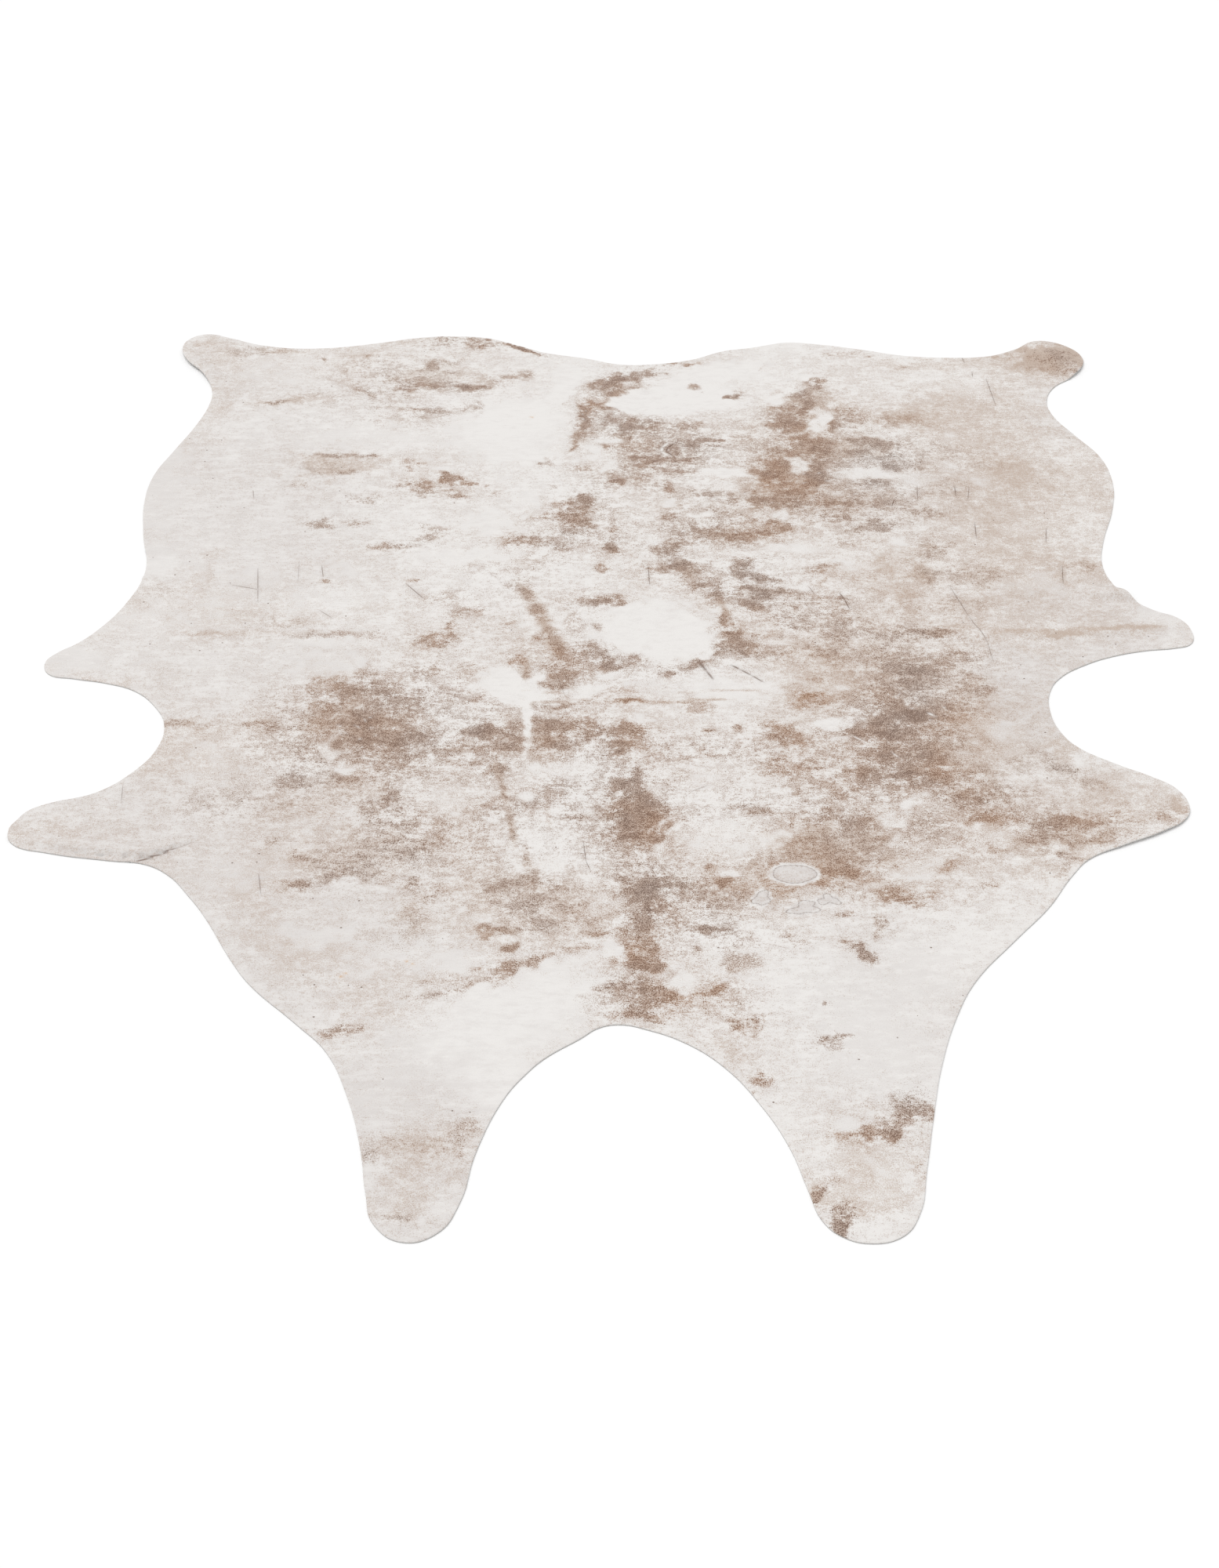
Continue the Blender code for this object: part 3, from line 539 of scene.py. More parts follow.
# Single hairs and scratches of the print, and a painted crease shadow: start and end in millimetres, width,
# and how dark.
HAIRS_AND_CREASE_SHADE = (
    # The first four rows are a painted shadow line along the foot of the crease at the left hind point, not
    # hairs.
    (-718, -470, -700, -464, 2.6, .9), (-700, -464, -682, -454, 2.2, .85),
    (-682, -454, -662, -439, 1.8, .7), (-662, -439, -642, -426, 1.4, .45), (-667, 287, -617, 272, 1.1, .8),
    (-629, 340, -618, 240, 1.0, .8), (-370, 290, -340, 247, 1.3, .9), (-510, 207, -487, 183, 1.0, .7),
    (367, 262, 374, 240, 1.4, 1.0), (374, 240, 380, 212, 1.4, 1.0), (316, 283, 323, 262, 1.0, .8),
    (557, 280, 578, 190, 1.1, .75), (578, 190, 600, 113, 1.1, .75), (600, 113, 603, 55, 1.0, .6),
    (43, 347, 45, 287, 1.3, .8), (757, 347, 751, 292, 1.1, .8), (533, 617, 530, 577, 1.1, .8),
    (601, 620, 600, 587, 1.2, .9), (627, 617, 620, 573, 1.1, .7), (488, 573, 481, 550, 1.4, 1.0),
    (670, 1127, 672, 1103, 1.1, .8), (683, 1060, 682, 1043, 1.2, .8), (707, 1033, 713, 927, 1.0, .8),
    (623, 493, 620, 443, 1.2, .85), (747, 473, 740, 427, 1.1, .8), (-560, 360, -556, 300, 1.0, .4),
    (-520, 350, -514, 312, 1.2, .7), (-470, -1, -455, -20, 1.0, .5), (-535, -500, -527, -545, 1.1, .7),
    (-62, -427, -58, -470, 1.1, .8), (-58, -470, -52, -490, 1.0, .7), (-766, -285, -762, -325, 1.0, .6),
    (100, -300, 125, -285, 1.1, .6), (-667, 605, -663, 580, 1.1, .6), (97, 779, 84, 763, 2.2, 1.0),
    (84, 763, 82, 748, 2.2, 1.0), (82, 748, 93, 733, 2.2, .9), (123, 52, 134, 26, 4.0, .8),
    (134, 26, 144, 2, 3.0, .8), (176, 42, 187, 32, 3.0, .9), (190, 29, 206, 14, 2.8, .8),
    (208, 12, 224, -5, 2.4, .8), (-110, 20, -96, -40, 1.2, .5),
)

# Pale scratches in the brown, in the same form.
PALE_HAIRS = (
    (86, 781, 74, 764, 4.6, 1.0), (74, 764, 73, 748, 4.8, 1.0), (73, 748, 83, 735, 4.2, 1.0),
    (358, -155, 372, -168, 2.4, .9), (372, -168, 384, -179, 2.2, .9), (416, -200, 424, -212, 2.4, .8),
    (482, -92, 490, -100, 4.0, .9),
)

# Sprays of small bare dots: middle, spread each way in millimetres, and how many.
SPRAYS = (
    (513, -387, 34, 16, 16), (150, -547, 26, 16, 9), (330, -520, 60, 14, 10), (-330, -330, 90, 60, 18),
    (-430, -130, 60, 50, 12), (380, 640, 90, 60, 14), (-380, -250, 50, 30, 8), (450, -300, 70, 30, 10),
    (60, 600, 70, 80, 8), (-60, 900, 30, 60, 6), (470, -90, 90, 70, 12), (-220, -600, 60, 30, 8),
)

# Rust-coloured specks: middle and size in millimetres.
RUST = (
    (-397, -727, 4.4), (-390, -720, 3.0), (-307, -695, 4.0), (-299, -700, 2.6), (-170, 880, 3.4),
)

# Dried-drop stains with a fine dark rim: x, y, length, width, turn, and how ragged the rim is.
RINGS = (
    (246, -500, 64, 42, 0, .06), (256, -578, 42, 26, 25, .5), (292, -560, 30, 20, 0, .6),
    (196, -556, 34, 22, 70, .35),
)

# The uneven take-up of the print: stretch along x, y, z, then features a metre, detail, roughness.
PRINT_NOISES = {
    "cloud": ((1.0, 1.0, 1.0), 5.0, 4.0, 0.55),
    "blotch": ((1.0, 1.0, 1.0), 24.0, 8.0, 0.7),
    "streak": ((1.0, 2.6, 1.0), 30.0, 8.0, 0.75),
    "drip": ((3.0, 1.0, 1.0), 30.0, 8.0, 0.75),
    "fine": ((0.8, 0.9, 1.0), 200.0, 5.0, 0.85),
    "grain": ((1.0, 0.7, 1.0), 650.0, 1.0, 0.5),
}

# How far, in millimetres, the ovals of each table are pushed out of shape.
SWAYS = {"brown": 9.0, "tan": 24.0, "grey": 24.0, "white": 16.0}

# Seeds of the random draws.
NAP_SEED = 7
SWAY_SEEDS = (11, 12)
SPRAY_SEED = 31

# Points of the CAD closer than this are one point.
CAD_ROUNDING = 0.01 * MM

# Points of the filled sheet closer than this are one point.
SAME_POINT = 0.001 * MM

# How near the rim a point for a hair may come, and how near the last few such points.
RIM_CLEARANCE = 1.5 * MM
HAIR_CLEARANCE = 0.3 * MM
LAST_POINTS = 12

# Material numbers of the faces, in the order in which the sheet is given its materials.
NAP, CUT, BACK = 0, 1, 2

FLOOR_SIZE = 60.0
KEY_PLACE = (-1.1, 0.5, 4.0)
KEY_SPREAD = math.radians(50)
SENSOR_MM = 36.0


def length(name, description, default):
    """A length that the panel shows."""
    return FloatProperty(name=name, description=description, default=default, unit="LENGTH")


def colour(name, description, default):
    """A colour that the panel shows, as sRGB hex."""
    return StringProperty(name=name, description=description, default=default)


class RugSizes(bpy.types.PropertyGroup):
    """How finely the sheet is made, and how uneven its nap is."""

    nap_pitch: length("Nap pitch", "Distance between points of the napped side", 7.5 * MM)
    fold_pitch: length("Fold pitch", "Distance between points on folds and creases", 4 * MM)
    back_pitch: length("Back pitch", "Distance between points of the flat underside", 32 * MM)
    edge_pitch: length("Edge pitch", "Distance between points along the cut edge", 4 * MM)
    hair_pitch: length("Hair pitch", "Distance between points along a printed hair", 3 * MM)
    unevenness: length("Unevenness", "How far the nap's surface wanders up and down", 0.35 * MM)


class RugColours(bpy.types.PropertyGroup):
    """Colours of the print, of the back and of the floor."""

    white: colour("White", "Clean nap", "#E8E5E2")
    grey: colour("Grey", "Cool washed nap", "#D8D3D0")
    tan: colour("Tan", "Pale brown wash", "#C2B1A4")
    light_brown: colour("Light brown", "Thin brown print", "#BFADA0")
    brown: colour("Brown", "Full brown print", "#A28B7D")
    dark_brown: colour("Dark brown", "Darkest brown print", "#766054")
    # Also the colour of the painted shadow line along the crease at the left hind point.
    hair_and_crease_shade: colour("Hair", "Single dark hairs of the print", "#664938")
    rust: colour("Rust", "Few small ochre specks", "#D2A673")
    cut_edge: colour("Cut edge", "Edge of the backing cloth", "#CFCDCB")
    back: colour("Back", "Suede-like underside", "#BDBAB6")
    floor: colour("Floor", "Plain pale floor", "#FBFBFB")


class StageSizes(bpy.types.PropertyGroup):
    """Where the camera stands, and how bright the light is."""

    camera_height: length("Camera height", "Height of the lens over the floor", 2.330)
    camera_distance: length("Camera distance", "From the lens's foot to the middle of the rug", 3.4015)
    camera_side: length("Camera side", "How far left of the middle the lens stands", 0.0235)
    camera_pitch: FloatProperty(
        name="Camera pitch", description="How far the lens looks down",
        default=math.radians(36.71), subtype="ANGLE",
    )
    lens: FloatProperty(
        name="Lens", description="Focal length in millimetres on a 36 mm sensor", default=58.54,
    )
    sky_light: FloatProperty(name="Sky light", description="Light from all round", default=0.70)
    key_light: FloatProperty(
        name="Key light", description="Strength of the broad soft light overhead", default=1.18,
    )


def linear(hex_colour):
    """The linear RGBA of an sRGB hex colour."""
    channels = [int(hex_colour[start:start + 2], 16) / 255 for start in (1, 3, 5)]
    curve = [c / 12.92 if c <= 0.04045 else ((c + 0.055) / 1.055) ** 2.4 for c in channels]
    return (*curve, 1.0)


def add(tree, kind, inputs=None, **settings):
    """Add one node with its settings, and give each named input a value or a link."""
    node = tree.nodes.new(kind)
    for name, value in settings.items():
        setattr(node, name, value)
    for name, value in (inputs or {}).items():
        if isinstance(value, bpy.types.NodeSocket):
            tree.links.new(value, node.inputs[name])
        else:
            node.inputs[name].default_value = value
    return node


def new_material(name):
    """An empty node material and its tree."""
    material = bpy.data.materials.new(name)
    material.use_nodes = True
    material.node_tree.nodes.clear()
    return material, material.node_tree


def cad_edge():
    """The cut edge of the CAD sheet, in order, from the border of its underside."""
    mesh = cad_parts[HIDE_NODE].data
    places = np.array([vertex.co for vertex in mesh.vertices])
    _, first, merged = np.unique(
        np.round(places / CAD_ROUNDING).astype(int), axis=0, return_index=True, return_inverse=True
    )
    merged = merged.reshape(-1)
    border = {}
    for face in mesh.polygons:
        if face.normal.z > UNDERSIDE:
            continue
        corners = [int(merged[index]) for index in face.vertices]
        for here, there in zip(corners, corners[1:] + corners[:1]):
            if (there, here) in border:
                del border[(there, here)]
            else:
                border[(here, there)] = True
    step = dict(border.keys())
    here = start = next(iter(step))
    loop = []
    while True:
        loop.append(places[first[here]][:2])
        here = step[here]
        if here == start:
            break
    loop = np.array(loop)
    x, y = loop.T
    turns = np.sum(x * np.roll(y, -1) - np.roll(x, -1) * y)
    return loop if turns > 0 else loop[::-1]


def smooth_edge(pitch):
    """The CAD edge as a smooth spline, with points an even pitch apart."""
    knots = cad_edge()
    curve = bpy.data.curves.new("edge", "CURVE")
    curve.dimensions = "2D"
    curve.fill_mode = "NONE"
    curve.resolution_u = 8
    spline = curve.splines.new("BEZIER")
    spline.bezier_points.add(len(knots) - 1)
    spline.use_cyclic_u = True
    for knot, (x, y) in zip(spline.bezier_points, knots):
        knot.co = (x, y, 0)
        knot.handle_left_type = "AUTO"
        knot.handle_right_type = "AUTO"
    guide = bpy.data.objects.new("edge", curve)
    bpy.context.scene.collection.objects.link(guide)
    bpy.context.view_layer.update()
    line = bpy.data.meshes.new_from_object(guide.evaluated_get(bpy.context.evaluated_depsgraph_get()))
    points = np.array([vertex.co.xy for vertex in line.vertices])
    bpy.data.objects.remove(guide, do_unlink=True)
    bpy.data.curves.remove(curve)
    bpy.data.meshes.remove(line)
    closed = np.vstack([points, points[:1]])
    travelled = np.concatenate([[0], np.cumsum(np.linalg.norm(np.diff(closed, axis=0), axis=1))])
    stations = np.linspace(0, travelled[-1], round(travelled[-1] / pitch), endpoint=False)
    return np.column_stack([np.interp(stations, travelled, closed[:, k]) for k in (0, 1)])


def inward(edge):
    """The unit direction into the sheet at each point of its edge."""
    along = np.roll(edge, -1, axis=0) - np.roll(edge, 1, axis=0)
    along /= np.linalg.norm(along, axis=1)[:, None]
    return np.column_stack([-along[:, 1], along[:, 0]])


def is_inside(points, line):
    """Whether each point is inside a closed line, by counting crossings to its right."""
    inside = np.zeros(len(points), bool)
    x, y = points.T
    for (x0, y0), (x1, y1) in zip(line, np.roll(line, -1, axis=0)):
        if y0 == y1:
            continue
        spans = (y0 > y) != (y1 > y)
        inside ^= spans & (x < x0 + (y - y0) * (x1 - x0) / (y1 - y0))
    return inside


def nearest_gap(points, others):
    """The distance from each point to the nearest of the others."""
    tree = kdtree.KDTree(len(others))
    for index, (x, y) in enumerate(others):
        tree.insert((x, y, 0), index)
    tree.balance()
    return np.array([tree.find((x, y, 0))[2] for x, y in points])


def fold_height(points, fold):
    """One fold's height at each point: full on the crest, and nothing past its fall."""
    height = np.zeros(len(points))
    crest = np.array(fold.crest) * MM
    for start, end in zip(crest, crest[1:]):
        run = (end - start)[:2]
        share = np.clip((points - start[:2]) @ run / (run @ run), 0, 1)
        away = points - start[:2] - share[:, None] * run
        is_left = run[0] * away[:, 1] - run[1] * away[:, 0] > 0
        fall = np.where(is_left, fold.left, fold.right) * MM
        slope = np.clip(np.linalg.norm(away, axis=1) / fall, 0, 1)
        crest_height = start[2] + share * (end - start)[2]
        height = np.maximum(height, crest_height * (1 + np.cos(slope * math.pi)) / 2)
    return height


def lift(points):
    """How far the sheet's underside is off the floor at each point."""
    return np.max([fold_height(points - CENTRING, fold) for fold in FOLDS.values()], axis=0)


def staggered_grid(pitch):
    """An even staggered grid over the sheet's box."""
    rows = np.arange(BOX_LOW.y, BOX_HIGH.y, pitch * math.sqrt(3) / 2)
    columns = np.arange(BOX_LOW.x, BOX_HIGH.x, pitch)
    x, y = np.meshgrid(columns, rows)
    x = x + (np.arange(len(rows)) % 2)[:, None] * pitch / 2
    return np.column_stack([x.ravel(), y.ravel()])


def filled(edge, flat_pitch, fold_pitch, extra=None):
    """Points and triangles that fill the edge: fine on folds, coarser where the sheet is flat."""
    coarse = staggered_grid(flat_pitch)
    fine = staggered_grid(fold_pitch)
    coarse = coarse[lift(coarse) == 0]
    fine = fine[lift(fine) > 0]
    fine = fine[is_inside(fine, edge)]
    coarse = coarse[is_inside(coarse, edge)]
    fine = fine[nearest_gap(fine, edge) > fold_pitch / 2]
    coarse = coarse[nearest_gap(coarse, edge) > flat_pitch / 2]
    inner = fine
    if extra is not None:
        extra = extra[is_inside(extra, edge)]
        extra = extra[nearest_gap(extra, edge) > RIM_CLEARANCE]
        fine = fine[nearest_gap(fine, extra) > fold_pitch / 2]
        inner = np.vstack([extra, fine])
    coarse = coarse[nearest_gap(coarse, inner) > flat_pitch / 2]
    points = [Vector(point) for point in np.vstack([edge, inner, coarse])]
    outline = [list(range(len(edge)))]
    placed, _, faces, *_ = delaunay_2d_cdt(points, [], outline, 1, SAME_POINT)
    return np.array([tuple(point) for point in placed]), faces


def crease_lines():
    """The crests of the sharp folds, in the same form as the hairs."""
    rows = []
    for fold in FOLDS.values():
        if fold.right < SHARP:
            crest = np.array(fold.crest)[:, :2] + CENTRING / MM
            rows += [(*start, *end, fold.right, 0.0) for start, end in zip(crest, crest[1:])]
    return tuple(rows)


def line_points(pitch):
    """Rows of points along and beside each hair and sharp crease, so that the mesh carries them."""
    points = []
    lines = HAIRS_AND_CREASE_SHADE + PALE_HAIRS + ring_hairs() + sprayed_dots() + rust_specks() + crease_lines()
    for x0, y0, x1, y1, width, _ in lines:
        start = np.array((x0, y0)) * MM
        run = np.array((x1, y1)) * MM - start
        reach = np.linalg.norm(run)
        across = np.array((-run[1], run[0])) / reach * width * MM
        for share in np.linspace(0, 1, max(3, round(reach / pitch))):
            points += [start + share * run + side * across for side in (-1.0, 0.0, 1.0)]
    points = np.array(points)
    keep = []
    for index, point in enumerate(points):
        before = points[keep[-LAST_POINTS:]] if keep else np.full((1, 2), np.inf)
        if np.min(np.linalg.norm(before - point, axis=1)) > HAIR_CLEARANCE:
            keep.append(index)
    return points[keep]


def wave(points, turn, phase, wavelength):
    """One even wave across the sheet, between -1 and 1."""
    return np.sin((points @ (math.cos(turn), math.sin(turn))) * math.tau / wavelength + phase)


def wander(points, seed, waves=12):
    """A slow, even unevenness between -1 and 1, from a few crossed waves."""
    draw = np.random.default_rng(seed)
    total = np.zeros(len(points))
    for _ in range(waves):
        turn, phase = draw.uniform(0, math.tau, 2)
        total += wave(points, turn, phase, draw.uniform(0.09, 0.34))
    return total / waves


def ripple(points, seed):
    """A quick, uneven shift between about -1 and 1 that keeps the ovals from looking like ovals."""
    draw = np.random.default_rng(seed)
    total = np.zeros(len(points))
    for step in range(24):
        turn, phase = draw.uniform(0, math.tau, 2)
        total += wave(points, turn, phase, 0.13 / 1.08 ** step)
    return total / 5


def sheet_faces(count, top_size, under_size, top_faces, under_faces):
    """The faces of the whole sheet and their material numbers, from its two fillings and its rim."""
    faces = [tuple(face) for face in top_faces]
    faces += [tuple(top_size + index for index in reversed(face)) for face in under_faces]
    kinds = [NAP] * len(top_faces) + [BACK] * len(under_faces)
    between = [top_size + under_size + k * count for k in range(len(RIM_PROFILE) - 2)]
    ring = [top_size, *between, 0]
    for level, (below, above) in enumerate(zip(ring, ring[1:])):
        for here in range(count):
            there = (here + 1) % count
            faces.append((below + here, below + there, above + there, above + here))
            kinds.append(CUT if level < BACK_ROWS else NAP)
    return faces, kinds


def sheet_mesh(sizes):
    """The whole sheet as one closed mesh: napped side, rim and underside."""
    edge = smooth_edge(sizes.edge_pitch)
    into = inward(edge)
    rows = [edge + into * inset * MM for inset, _ in RIM_PROFILE]
    count = len(edge)
    top, top_faces = filled(rows[-1], sizes.nap_pitch, sizes.fold_pitch, line_points(sizes.hair_pitch))
    under, under_faces = filled(rows[0], sizes.back_pitch, sizes.nap_pitch)
    flat = np.vstack([top, under, *rows[1:-1]])
    height = np.zeros(len(flat))
    height[:len(top)] = RIM_PROFILE[-1][1] * MM
    height[len(top) + len(under):] = np.repeat([up * MM for _, up in RIM_PROFILE[1:-1]], count)
    from_edge = np.ones(len(top))
    from_edge[:count] = 0
    height[:len(top)] += wander(top, NAP_SEED) * from_edge * sizes.unevenness
    places = np.column_stack([flat, lift(flat) + height])
    faces, kinds = sheet_faces(count, len(top), len(under), top_faces, under_faces)
    mesh = bpy.data.meshes.new("printed_hide")
    mesh.from_pydata(places.tolist(), [], faces)
    mesh.polygons.foreach_set("material_index", kinds)
    mesh.update()
    mesh.shade_smooth()
    return mesh, flat


def sprayed_dots():
    """The sprays as very short pale hairs, scattered evenly about their middles."""
    draw = np.random.default_rng(SPRAY_SEED)
    rows = []
    for x, y, spread_x, spread_y, count in SPRAYS:
        for _ in range(count):
            at = (x + draw.normal(0, spread_x / 2), y + draw.normal(0, spread_y / 2))
            run = draw.uniform(-3, 3, 2)
            rows.append((*at, *(at + run), draw.uniform(2.0, 4.5), draw.uniform(0.7, 1.0)))
    return tuple(rows)


def rust_specks():
    """The rust-coloured specks in the form of hairs."""
    return tuple((x, y, x + 1.0, y - 0.5, size, 1.0) for x, y, size in RUST)


def ring_hairs(width=1.6, strength=0.6):
    """The rims of the stains as rows of short hairs, a little out of round."""
    rows = []
    for x, y, long, wide, turn, ragged in RINGS:
        angles = np.linspace(0, math.tau, 25)
        wobble = 1 + ragged * (0.6 * np.sin(3 * angles + x) + 0.4 * np.sin(5 * angles + y))
        along = np.cos(angles) * wobble * long / 2
        across = np.sin(angles) * wobble * wide / 2
        c, s = math.cos(math.radians(turn)), math.sin(math.radians(turn))
        rim = np.column_stack([x + c * along - s * across, y + s * along + c * across])
        rows += [(*start, *end, width, strength) for start, end in zip(rim, rim[1:])]
    return tuple(rows)


def oval_gap(away, long, wide, turn):
    """How far out of an oval's middle each offset is, as a share of the way to its rim."""
    c, s = math.cos(math.radians(turn)), math.sin(math.radians(turn))
    return np.hypot(away @ (c, s) / (long / 2), away @ (-s, c) / (wide / 2))


def stains(points):
    """Where the dried-drop stains lie: their grey middles, and the middles with the bare band around."""
    middle, whole = np.zeros(len(points)), np.zeros(len(points))
    for x, y, long, wide, turn, _ in RINGS:
        gap = oval_gap(points / MM - (x, y), long, wide, turn)
        middle = np.maximum(middle, np.clip((1.1 - gap) / 0.15, 0, 1))
        whole = np.maximum(whole, np.clip((1.28 - gap) / 0.14, 0, 1))
    return middle, whole


def cover(points, table, sway):
    """How strongly a table of soft ovals covers each point, the strongest one counting."""
    shift = np.column_stack([ripple(points, seed) for seed in SWAY_SEEDS])
    core = np.zeros(len(points))
    halo = np.ones(len(points))
    for rows in table.values():
        for patch in (Patch(*row) for row in rows):
            away = points / MM - (patch.x, patch.y) + min(sway, 0.25 * patch.wide) * shift
            gap = oval_gap(away, patch.long, patch.wide, patch.turn)
            reach = np.clip((1.6 - gap) / 1.2, 0, 1)
            core = np.maximum(core, patch.cover * reach * reach * (3 - 2 * reach))
            halo *= 1 - HALO * patch.cover * np.exp(-gap * gap / 6)
    return np.maximum(core, 1 - halo)


def line_cover(points, hairs):
    """How strongly printed hairs cover each point."""
    total = np.zeros(len(points))
    for x0, y0, x1, y1, width, strength in hairs:
        start = np.array((x0, y0)) * MM
        run = np.array((x1, y1)) * MM - start
        share = np.clip((points - start) @ run / (run @ run), 0, 1)
        gap = np.linalg.norm(points - start - share[:, None] * run, axis=1)
        taper = 1 - 0.6 * np.abs(2 * share - 1) ** 3
        total = np.maximum(total, strength * taper * np.clip(1.1 - gap / (width * MM), 0, 1))
    return total


def print_layers(points):
    """Each layer of the print as one number a point; the stains clear the brown and tan under them."""
    middle, whole = stains(points)
    strokes = line_cover(points, STROKES)
    brown, tan, grey, white = (
        cover(points, table, sway) for table, sway in zip((BROWN, TAN, GREY, WHITE), SWAYS.values())
    )
    return {
        "brown": (1 - 0.85 * whole) * np.maximum(brown, strokes),
        "tan": (1 - whole) * np.maximum(tan, 1.2 * strokes),
        "grey": np.maximum(grey, 0.8 * middle),
        "white": np.maximum(white, 0.7 * (whole - middle)),
        # The dark hair layer also holds the painted shadow line along the crease at the left hind point.
        "hair_and_crease_shade": line_cover(points, HAIRS_AND_CREASE_SHADE + ring_hairs()),
        "pale_hair": line_cover(points, PALE_HAIRS + sprayed_dots()),
        "rust": line_cover(points, rust_specks()),
    }


def store(mesh, name, values):
    """Keep one number for each vertex under a name that the material reads."""
    layer = mesh.attributes.new(name, "FLOAT", "POINT")
    layer.data.foreach_set("value", values.astype(np.float32))


def maths(tree, operation, first, second):
    """The result of one operation on two values."""
    return add(tree, "ShaderNodeMath", {0: first, 1: second}, operation=operation).outputs[0]


def weighted_sum(tree, start, parts, **weights):
    """A starting value or socket, plus each named part times its weight."""
    total = start
    for name, weight in weights.items():
        total = add(tree, "ShaderNodeMath", {0: parts[name], 1: weight, 2: total},
                    operation="MULTIPLY_ADD").outputs[0]
    return total


def ranged(tree, value, low, high, to_low=0.0, to_high=1.0):
    """A value carried from one range to another and held at its ends."""
    return add(tree, "ShaderNodeMapRange", {
        "Value": value, "From Min": low, "From Max": high, "To Min": to_low, "To Max": to_high,
    }).outputs[0]


def mixed(tree, factor, under, over):
    """One colour with another laid over it, as far as the factor says."""
    return add(tree, "ShaderNodeMix", {"Factor": factor, "A": under, "B": over},
               data_type="RGBA").outputs[2]


def dull_surface(tree, colour, height, relief, roughness, **more):
    """A dull surface with fine relief, as strength and depth in metres, joined to the output."""
    strength, depth = relief
    bump = add(tree, "ShaderNodeBump", {"Height": height, "Strength": strength, "Distance": depth})
    shader = add(tree, "ShaderNodeBsdfPrincipled", {
        "Base Color": colour, "Roughness": roughness, "Normal": bump.outputs[0],
        **{name.replace("_", " "): value for name, value in more.items()},
    })
    add(tree, "ShaderNodeOutputMaterial", {"Surface": shader.outputs[0]})


def print_parts(tree, place):
    """What the print is mixed from: the layers stored on the mesh, and noises about 0."""
    parts = {
        name: add(tree, "ShaderNodeAttribute", attribute_name=name).outputs["Fac"]
        for name in ("brown", "tan", "grey", "white", "hair_and_crease_shade", "pale_hair", "rust")
    }
    for name, (stretch, scale, detail, roughness) in PRINT_NOISES.items():
        stretched = add(tree, "ShaderNodeMapping", {"Vector": place, "Scale": stretch}).outputs[0]
        noise = add(tree, "ShaderNodeTexNoise", {
            "Vector": stretched, "Scale": scale, "Detail": detail, "Roughness": roughness,
        })
        parts[name] = maths(tree, "SUBTRACT", noise.outputs["Fac"], 0.5)
    rough_white = weighted_sum(tree, parts["white"], parts, blotch=2.4, streak=2.0, drip=1.0, fine=1.4)
    parts["white"] = ranged(tree, rough_white, 0.3, 0.85)
    parts["ragged"] = weighted_sum(
        tree, 0.0, parts, blotch=1.6, streak=1.3, drip=0.8, fine=1.9, grain=0.9
    )
    calm = weighted_sum(tree, 1.0, parts, white=-0.6)
    parts["uneven"] = maths(tree, "MULTIPLY", parts["ragged"], calm)
    return parts


def brown_ink(tree, place, parts):
    """How much brown the nap took up, with small bare flecks left in it."""
    ink = weighted_sum(tree, 0.08, parts, brown=1.0, white=-0.3, uneven=1.0)
    cell = add(tree, "ShaderNodeTexVoronoi", {"Vector": place, "Scale": 75.0, "Randomness": 1.0})
    apart = weighted_sum(tree, cell.outputs["Distance"], parts, fine=0.6)
    bare = ranged(tree, apart, 0.14, 0.24, 0.55, 0.0)
    chance = maths(tree, "GREATER_THAN", cell.outputs["Color"], 0.62)
    parts["fleck"] = maths(tree, "MULTIPLY", bare, chance)
    return weighted_sum(tree, ink, parts, fleck=-1.0)


def brown_tone(tree, ink, parts, colours):
    """The colour of the brown print: darker where it took up more, greyer in the grey places."""
    grainy = weighted_sum(tree, ink, parts, fine=2.0, grain=3.4)
    tone = add(tree, "ShaderNodeValToRGB", {"Fac": ranged(tree, grainy, 0.4, 1.5)})
    stops = ((0.0, colours.light_brown), (0.5, colours.brown), (1.0, colours.dark_brown))
    tone.color_ramp.elements.new(0.5)
    for element, (position, shade) in zip(tone.color_ramp.elements, stops):
        element.position = position
        element.color = linear(shade)
    warmth = weighted_sum(tree, 1.12, parts, cloud=1.5, grey=-0.3)
    toned = add(tree, "ShaderNodeHueSaturation", {"Saturation": warmth, "Color": tone.outputs["Color"]})
    return toned.outputs["Color"]


def washed_nap(tree, parts, colours):
    """The nap under the brown: white, greyed in clouds, with thin tan washes."""
    fog = weighted_sum(tree, 0.2, parts, grey=0.9, white=-0.22, cloud=1.0, ragged=0.55, streak=1.6)
    fogged = mixed(tree, fog, linear(colours.white), linear(colours.grey))
    wash = weighted_sum(
        tree, 0.0, parts, tan=1.0, brown=0.85, uneven=0.8, cloud=1.1, white=-0.6, fine=0.8, grain=0.9
    )
    return mixed(tree, ranged(tree, wash, 0.08, 0.95), fogged, linear(colours.tan))


def dark_specks(tree, place, parts):
    """Sparse dark specks the size of pinheads, more of them in grey and tan places."""
    dot = add(tree, "ShaderNodeTexVoronoi", {"Vector": place, "Scale": 48.0, "Randomness": 1.0})
    near = maths(tree, "LESS_THAN", dot.outputs["Distance"], 0.075)
    odds = weighted_sum(tree, 0.12, parts, grey=0.3, tan=0.3, white=-0.2)
    luck = maths(tree, "LESS_THAN", dot.outputs["Color"], odds)
    speck = maths(tree, "MULTIPLY", near, luck)
    return maths(tree, "MULTIPLY", speck, 0.78)


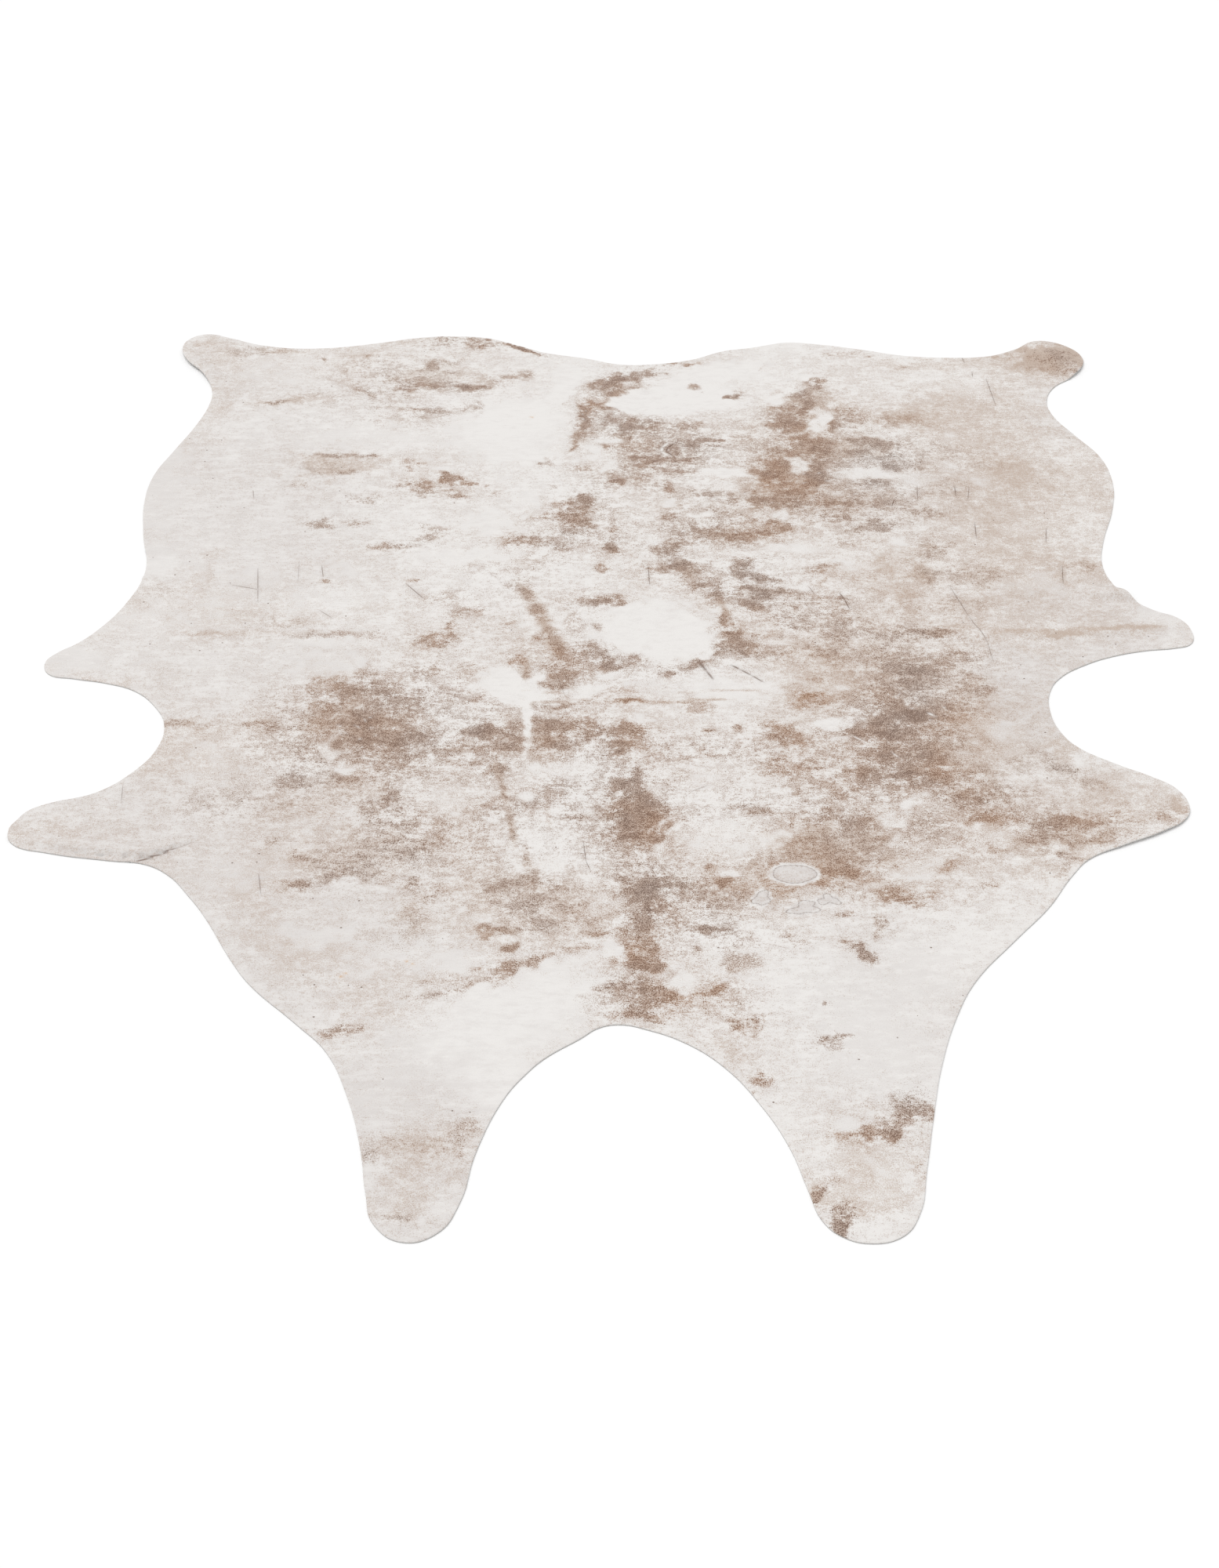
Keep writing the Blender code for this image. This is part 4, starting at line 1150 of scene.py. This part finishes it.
def printed_nap(colours):
    """Short polyester nap, heat printed: dull, faintly streaked, with brown that breaks into specks."""
    material, tree = new_material("short_nap_heat_printed")
    place = add(tree, "ShaderNodeTexCoord").outputs["Object"]
    parts = print_parts(tree, place)
    ink = brown_ink(tree, place, parts)
    body = ranged(tree, parts["brown"], 0.02, 0.4, 0.5, 1.0)
    inked = maths(tree, "MULTIPLY", ranged(tree, ink, 0.3, 0.78), body)
    toned = brown_tone(tree, ink, parts, colours)
    final = mixed(tree, inked, washed_nap(tree, parts, colours), toned)
    # The dark hair mark also paints the shadow line along the crease at the left hind point.
    marks = (
        (dark_specks(tree, place, parts), colours.dark_brown), (parts["hair_and_crease_shade"], colours.hair_and_crease_shade),
        (parts["pale_hair"], colours.white), (parts["rust"], colours.rust),
    )
    for factor, shade in marks:
        final = mixed(tree, factor, final, linear(shade))
    dull_surface(tree, final, parts["grain"], (0.25, 0.6 * MM), 0.92,
                 Sheen_Weight=0.15, Sheen_Roughness=0.5, Specular_IOR_Level=0.2)
    return material


def cut_backing(colours):
    """Die-cut knitted polyester backing: a pale grey, dull, slightly fibrous edge."""
    material, tree = new_material("knitted_backing_die_cut")
    place = add(tree, "ShaderNodeTexCoord").outputs["Object"]
    fibre = add(tree, "ShaderNodeTexNoise", {"Vector": place, "Scale": 700.0, "Detail": 2.0})
    tone = mixed(tree, fibre.outputs["Fac"], linear(colours.cut_edge), linear(colours.back))
    dull_surface(tree, tone, fibre.outputs["Fac"], (0.4, 0.4 * MM), 0.95)
    return material


def suede_back(colours):
    """Emerised polyester underside: a fine suede with a faint weave showing through."""
    material, tree = new_material("polyester_suede_emerised")
    place = add(tree, "ShaderNodeTexCoord").outputs["Object"]
    cloud = add(tree, "ShaderNodeTexNoise", {"Vector": place, "Scale": 9.0, "Detail": 4.0})
    weave = add(tree, "ShaderNodeTexWave",
                {"Vector": place, "Scale": 160.0, "Distortion": 1.5, "Detail": 2.0})
    tone = mixed(tree, cloud.outputs["Fac"], linear(colours.back), linear(colours.grey))
    dull_surface(tree, tone, weave.outputs["Fac"], (0.3, 0.3 * MM), 0.9, Sheen_Weight=0.3)
    return material


def painted_floor(colours):
    """Matt painted floor: an even near-white that only takes soft shadows."""
    material, tree = new_material("painted_floor_matt")
    shader = add(tree, "ShaderNodeBsdfPrincipled", {
        "Base Color": linear(colours.floor), "Roughness": 0.8,
    })
    add(tree, "ShaderNodeOutputMaterial", {"Surface": shader.outputs[0]})
    return material


def set_lights(scene, sizes):
    """An even white sky, and a broad soft lamp over the rug."""
    world = bpy.data.worlds.new("studio")
    world.use_nodes = True
    sky = world.node_tree.nodes["Background"]
    sky.inputs["Color"].default_value = (1.0, 1.0, 1.0, 1.0)
    sky.inputs["Strength"].default_value = sizes.sky_light
    scene.world = world
    lamp = bpy.data.lights.new("key", "SUN")
    lamp.energy = sizes.key_light
    lamp.angle = KEY_SPREAD
    key = bpy.data.objects.new("key", lamp)
    key.location = KEY_PLACE
    key.rotation_euler = Vector(key.location).to_track_quat("Z", "Y").to_euler()
    scene.collection.objects.link(key)


def set_camera(scene, sizes):
    """The camera, where it stood for the photo."""
    lens = bpy.data.cameras.new("camera")
    lens.sensor_width = SENSOR_MM
    lens.lens = sizes.lens
    camera = bpy.data.objects.new("camera", lens)
    camera.location = (-sizes.camera_side, -sizes.camera_distance, sizes.camera_height)
    camera.rotation_euler = (math.pi / 2 - sizes.camera_pitch, 0, 0)
    scene.collection.objects.link(camera)
    scene.camera = camera
    scene.view_settings.view_transform = "Standard"


class RUG_OT_sheet(bpy.types.Operator):
    """Lay the hide: napped side, cut edge and underside in one closed sheet, with its print"""

    bl_idname = "rug.sheet"
    bl_label = "Lay the Hide"

    def execute(self, context):
        colours = context.scene.rug_colours
        mesh, flat = sheet_mesh(context.scene.rug_sizes)
        for name, values in print_layers(flat).items():
            store(mesh, name, values)
        hide = bpy.data.objects.new("printed_hide", mesh)
        context.scene.collection.objects.link(hide)
        for material in (printed_nap(colours), cut_backing(colours), suede_back(colours)):
            mesh.materials.append(material)
        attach(hide, BODY)
        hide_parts(HIDE_NODE)
        return {"FINISHED"}


class RUG_OT_stage(bpy.types.Operator):
    """Put down the plain floor, the soft light and the camera"""

    bl_idname = "rug.stage"
    bl_label = "Set the Stage"

    def execute(self, context):
        scene = context.scene
        bpy.ops.mesh.primitive_plane_add(size=FLOOR_SIZE, location=(0, 0, 0))
        floor = context.object
        floor.name = "floor"
        floor.data.materials.append(painted_floor(scene.rug_colours))
        set_lights(scene, scene.rug_stage)
        set_camera(scene, scene.rug_stage)
        return {"FINISHED"}


class RUG_PT_panel(bpy.types.Panel):
    """The rug's pieces, in the order in which they are made"""

    bl_idname = "RUG_PT_panel"
    bl_label = "Hide Rug"
    bl_space_type = "VIEW_3D"
    bl_region_type = "UI"
    bl_category = "Hide Rug"

    def draw(self, context):
        for operator in OPERATORS:
            self.layout.operator(operator.bl_idname)
        for group in (context.scene.rug_sizes, context.scene.rug_colours, context.scene.rug_stage):
            box = self.layout.box()
            for name in group.__annotations__:
                box.prop(group, name)


OPERATORS = (RUG_OT_stage, RUG_OT_sheet)
CLASSES = (RugSizes, RugColours, StageSizes, *OPERATORS, RUG_PT_panel)


def register():
    for item in CLASSES:
        bpy.utils.register_class(item)
    bpy.types.Scene.rug_sizes = PointerProperty(type=RugSizes)
    bpy.types.Scene.rug_colours = PointerProperty(type=RugColours)
    bpy.types.Scene.rug_stage = PointerProperty(type=StageSizes)


def unregister():
    del bpy.types.Scene.rug_stage
    del bpy.types.Scene.rug_colours
    del bpy.types.Scene.rug_sizes
    for item in reversed(CLASSES):
        bpy.utils.unregister_class(item)


def main():
    """Register the classes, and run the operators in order."""
    register()
    bpy.ops.rug.stage()
    bpy.ops.rug.sheet()


if __name__ == "__main__":
    main()
